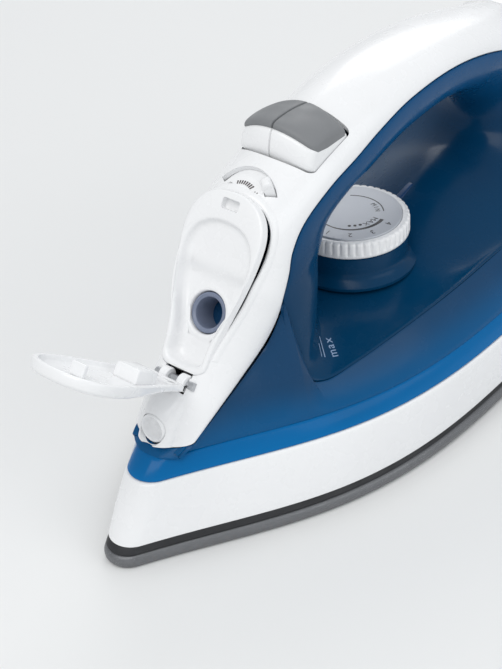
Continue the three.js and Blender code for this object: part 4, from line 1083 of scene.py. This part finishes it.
DIAL_RADIUS, DIAL_LOW, DIAL_HIGH, GROOVES = 21.8, 66.5, 73.0, 48
PLATE_RADIUS, PLATE_TOP = 19.0, 73.5
DIAL_SIDE = [(14, 66.5, 0), (21.2, 66.5, 0), (21.7, 66.8, 0), (21.8, 67.2, 0), (21.8, 67.9, 0),
             (21.8, 68.3, 0.9), (21.8, 71.6, 1), (21.7, 72.3, 1), (21.2, 72.85, 0.9), (20.4, 73, 0.5),
             (19.6, 73, 0.1), (19.2, 72.9, 0), (19.2, 72.2, 0), (14, 72.2, 0)]
around = GROOVES * 10
dial_rings = []
for radius, z, groove in DIAL_SIDE:
    ring = []
    for i in range(around):
        a = 2 * math.pi * i / around
        off = ((i % 10) - 5) / 5
        dip = 0.62 * math.exp(-(off / 0.34)**2) * groove
        ring.append(dial_at + np.array([(radius - dip) * math.cos(a), (radius - dip) * math.sin(a), z]))
    dial_rings.append(ring)
wheel = made("dial_wheel", *stacked(dial_rings, True), LOOK["white"], "dial", "gloss_white", 50)
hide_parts("temperature_dial")
PLATE = [[0, 72.3], [19, 72.3], [19, 73.2], [18.8, 73.45], [18.4, PLATE_TOP], [0, PLATE_TOP]]
plate = made("dial_face", *turned(PLATE, dial_at, segments=128), LOOK["silver"], "dial",
             "silver_print", 40)
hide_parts("dial_plate")

# ---------------------------------------------------------------- printing


def glyph(text, size):
    """Flat points and faces of one piece of lettering, centred on the origin."""
    curve = bpy.data.curves.new("glyph", "FONT")
    curve.body = text
    curve.size = size
    curve.align_x = curve.align_y = "CENTER"
    curve.resolution_u = 3
    obj = bpy.data.objects.new("glyph", curve)
    bpy.context.scene.collection.objects.link(obj)
    graph = bpy.context.evaluated_depsgraph_get()
    graph.update()
    mesh = bpy.data.meshes.new_from_object(obj.evaluated_get(graph))
    points = [(v.co.x, v.co.y) for v in mesh.vertices]
    faces = [tuple(p.vertices) for p in mesh.polygons]
    bpy.data.objects.remove(obj)
    bpy.data.curves.remove(curve)
    bpy.data.meshes.remove(mesh)
    return points, faces


def raised(shape, place, thick=0.05):
    """A flat shape as a thin closed body; place turns (u, v, w) into a point."""
    points, faces = shape
    n = len(points)
    edges = {}
    for face in faces:
        for a, b in zip(face, face[1:] + face[:1]):
            edges[(a, b)] = True
    sides = [(a, b, b + n, a + n) for a, b in edges if (b, a) not in edges]
    body_points = [place(u, v, 0) for u, v in points] + [place(u, v, thick) for u, v in points]
    return body_points, [f[::-1] for f in faces] + [tuple(i + n for i in f) for f in faces] + sides


def dial_spot(radius, degrees):
    a = math.radians(degrees)
    return radius * math.cos(a), radius * math.sin(a)


def on_plate(u, v, w):
    return dial_at + np.array([u, v, PLATE_TOP + w - 0.01])


def ring_bar(inner, outer, low, high, steps=60):
    """A curved line whose width may change from one end to the other."""
    points, faces = [], []
    for i in range(steps + 1):
        f = i / steps
        a = low + (high - low) * f
        points.append(dial_spot(inner[0] * (1 - f) + inner[1] * f, a))
        points.append(dial_spot(outer[0] * (1 - f) + outer[1] * f, a))
    for i in range(steps):
        faces.append((2 * i, 2 * i + 1, 2 * i + 3, 2 * i + 2))
    return points, faces


def dot(radius, centre, count=20):
    return ([(centre[0] + radius * math.cos(2 * math.pi * i / count),
              centre[1] + radius * math.sin(2 * math.pi * i / count)) for i in range(count)],
            [tuple(range(count))])


def letters(text, size, radius, centre_angle, step):
    """Letters set round the dial, their tops outwards or inwards by the sign of step."""
    shapes = []
    for i, letter in enumerate(text):
        a = centre_angle + (i - (len(text) - 1) / 2) * step
        points, faces = glyph(letter, size)
        if not faces:
            continue
        spin = math.radians(a + (90 if step > 0 else -90))
        cx, cy = dial_spot(radius, a)
        turned_points = [(cx + u * math.cos(spin) - v * math.sin(spin),
                          cy + u * math.sin(spin) + v * math.cos(spin)) for u, v in points]
        shapes.append((turned_points, faces))
    return shapes


dial_marks = [
    ring_bar((11.9, 11.9), (13.3, 12.2), 102, -30),
    ring_bar((11.9, 11.9), (12.3, 12.3), 129, 217),
    *[dot(0.62, dial_spot(9.6, a)) for a in (34, 46, 58)],
    *letters("MAX", 3.0, 9.9, 84, -13),
    *letters("MIN", 2.6, 9.9, 146, -12),
    *letters("4", 3.4, 15.9, 96, -10),
    *letters("3", 3.4, 15.9, 66, -10),
    *letters("2", 3.4, 15.9, 36, -10),
    *letters("1", 3.4, 15.9, 6, -10),
]
dial_print = made("dial_print", *merged(*[raised(s, on_plate) for s in dial_marks]),
                  LOOK["dark_ink"], "dial", "silver_print")


def on_cover_front(u, v, w):
    return surface_point(on_lever, u, v, w + 0.02)


def steam_mark(u, v, size):
    """A small iron over a puff of steam, in simple filled shapes."""
    shapes = [([(u + a * size, v + b * size) for a, b in
                ((-0.9, -1.0), (-0.55, -1.15), (-0.5, 1.1), (-0.9, 0.9))], [(0, 1, 2, 3)])]
    for k in (-0.75, -0.25, 0.25, 0.75):
        base = ((-0.4, k - 0.16), (-0.4, k + 0.16), (0.9 - abs(k), k * 1.5 + 0.12),
                (0.9 - abs(k), k * 1.5 - 0.12))
        shapes.append(([(u + a * size, v + b * size) for a, b in base], [(0, 1, 2, 3)]))
    return shapes


SCALE_RADIUS = 7.4
scale_marks = []
for k in range(8):
    a = -24 + k * 7.0
    scale_marks.append(ring_bar((SCALE_RADIUS - 0.9,) * 2, (SCALE_RADIUS + 0.5 + k * 0.05,) * 2,
                                a, a + 4.2, 3))
for a, size in ((-44, 1.0), (48, 1.2)):
    scale_marks += steam_mark(*dial_spot(SCALE_RADIUS + 0.2, a), size)
made("steam_scale", *merged(*[raised(s, on_cover_front, 0.03) for s in scale_marks]), LOOK["ink"],
     "housing", "silver_print")

# ---------------------------------------------------------------- the water line on the tank's side

body_tree = BVHTree.FromPolygons(
    opening_rows.reshape(-1, 3).tolist(),
    [(i * opening_rows.shape[1] + j, (i + 1) * opening_rows.shape[1] + j,
      (i + 1) * opening_rows.shape[1] + j + 1, i * opening_rows.shape[1] + j + 1)
     for i in range(len(opening_rows) - 1) for j in range(opening_rows.shape[1] - 1)])
MARK_AT = at(92.4, 24.5, 49.1)
mark_out = unit(np.array([0.05, 0.36, 0.93]))
mark_along = unit(np.array([-0.533, -0.782, 0.322]))
mark_up = np.cross(mark_out, mark_along)


def beside_tank(u, v, w):
    """A point on the body's surface at the water line; u runs along the word, v up its letters."""
    start = MARK_AT + mark_along * u + mark_up * v + mark_out * 5
    hit = body_tree.ray_cast(Vector(start), Vector(-mark_out))[0]
    return np.array(start - mark_out * 5 if hit is None else hit) + mark_out * (w + 0.04)


water_marks = [([(-4.2, 3.4), (3.6, 3.4), (3.6, 3.8), (-4.2, 3.8)], [(0, 1, 2, 3)]),
               ([(-4.2, 4.8), (0.4, 4.8), (0.4, 5.1), (-4.2, 5.1)], [(0, 1, 2, 3)])]
for letter, u in zip("max", (-2.9, 0.2, 2.9)):
    points, faces = glyph(letter, 4.6)
    water_marks.append(([(a + u, b) for a, b in points], faces))
made("water_line_print", *merged(*[raised(s, beside_tank, 0.03) for s in water_marks]),
     LOOK["pale_ink"], "housing", "silver_print")

# ---------------------------------------------------------------- the pilot lamp's window

lens_at = at(171, 0, 65.4)
on_deck = placer(lens_at, np.array([-math.cos(0.25), 0, math.sin(0.25)]),
                 np.array([math.sin(0.25), 0, math.cos(0.25)]))
lens = made("lamp_window", *cushioned(-6.1, 6.1, -1.7, 1.7, -1.6, 0.9, on_deck, 1.2, 6), LOOK["lens"],
            "housing", "lens_red", 50)
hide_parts("lamp_lens")

# ---------------------------------------------------------------- finishes of the hidden parts

HIDDEN = {
    "heating_element": "steel", "steam_chamber_cover": "aluminium", "lid_hinge_pin": "steel",
    "spray_piston": "white_inside", "steam_piston": "white_inside", "spray_pump": "white_inside",
    "steam_pump": "white_inside", "spray_spring": "steel", "steam_spring": "steel",
    "steam_rod": "white_inside", "drip_valve_seat": "brass", "dial_spindle": "steel",
    "thermostat": "ceramic", "thermal_fuse": "ceramic", "terminal_block": "ceramic",
    "pilot_lamp": "ceramic", "spray_hose": "gland", "sole_screw_front": "steel",
    "sole_screw_left": "steel", "sole_screw_right": "steel",
}
for node, look in HIDDEN.items():
    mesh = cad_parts[node].data
    mesh.materials.clear()
    mesh.materials.append(LOOK[look])

# ---------------------------------------------------------------- floor and light

FLOOR_HALF = 4000.0
floor = made("floor", [(-FLOOR_HALF, -FLOOR_HALF, -0.05), (FLOOR_HALF, -FLOOR_HALF, -0.05),
                       (FLOOR_HALF, FLOOR_HALF, -0.05), (-FLOOR_HALF, FLOOR_HALF, -0.05)],
             [(0, 1, 2, 3)], LOOK["white"], None, None)
paper = Finish("paper", (0.80, 0.805, 0.805), 0.7)
paper.bump(paper.noise(900, 2), 0.05, 0.0001)
floor.data.materials[0] = paper.material

world = bpy.data.worlds.new("studio")
bpy.context.scene.world = world
world.use_nodes = True
background = world.node_tree.nodes["Background"]
background.inputs[0].default_value = (0.95, 0.975, 1.0, 1)
background.inputs[1].default_value = 0.62


def lamp(name, place, target, size, watts, colour):
    data = bpy.data.lights.new(name, "AREA")
    data.shape = "RECTANGLE"
    data.size, data.size_y = size
    data.energy = watts
    data.color = colour
    obj = bpy.data.objects.new(name, data)
    bpy.context.scene.collection.objects.link(obj)
    obj.location = Vector(place)
    obj.rotation_mode = "QUATERNION"
    obj.rotation_quaternion = (Vector(target) - Vector(place)).to_track_quat("-Z", "Y")


lamp("key", (0.9, 0.2, 1.5), (0, 0, 0.05), (1.2, 1.2), 13, (1, 0.99, 0.97))
lamp("fill", (-0.3, 1.6, 0.9), (0, 0, 0.05), (1.4, 1.0), 5, (0.95, 0.98, 1))
lamp("rim", (-1.3, -0.7, 1.1), (0, 0, 0.08), (1.0, 1.0), 6, (1, 1, 1))

scene = bpy.context.scene
scene.view_settings.view_transform = "Standard"
scene.view_settings.look = "None"
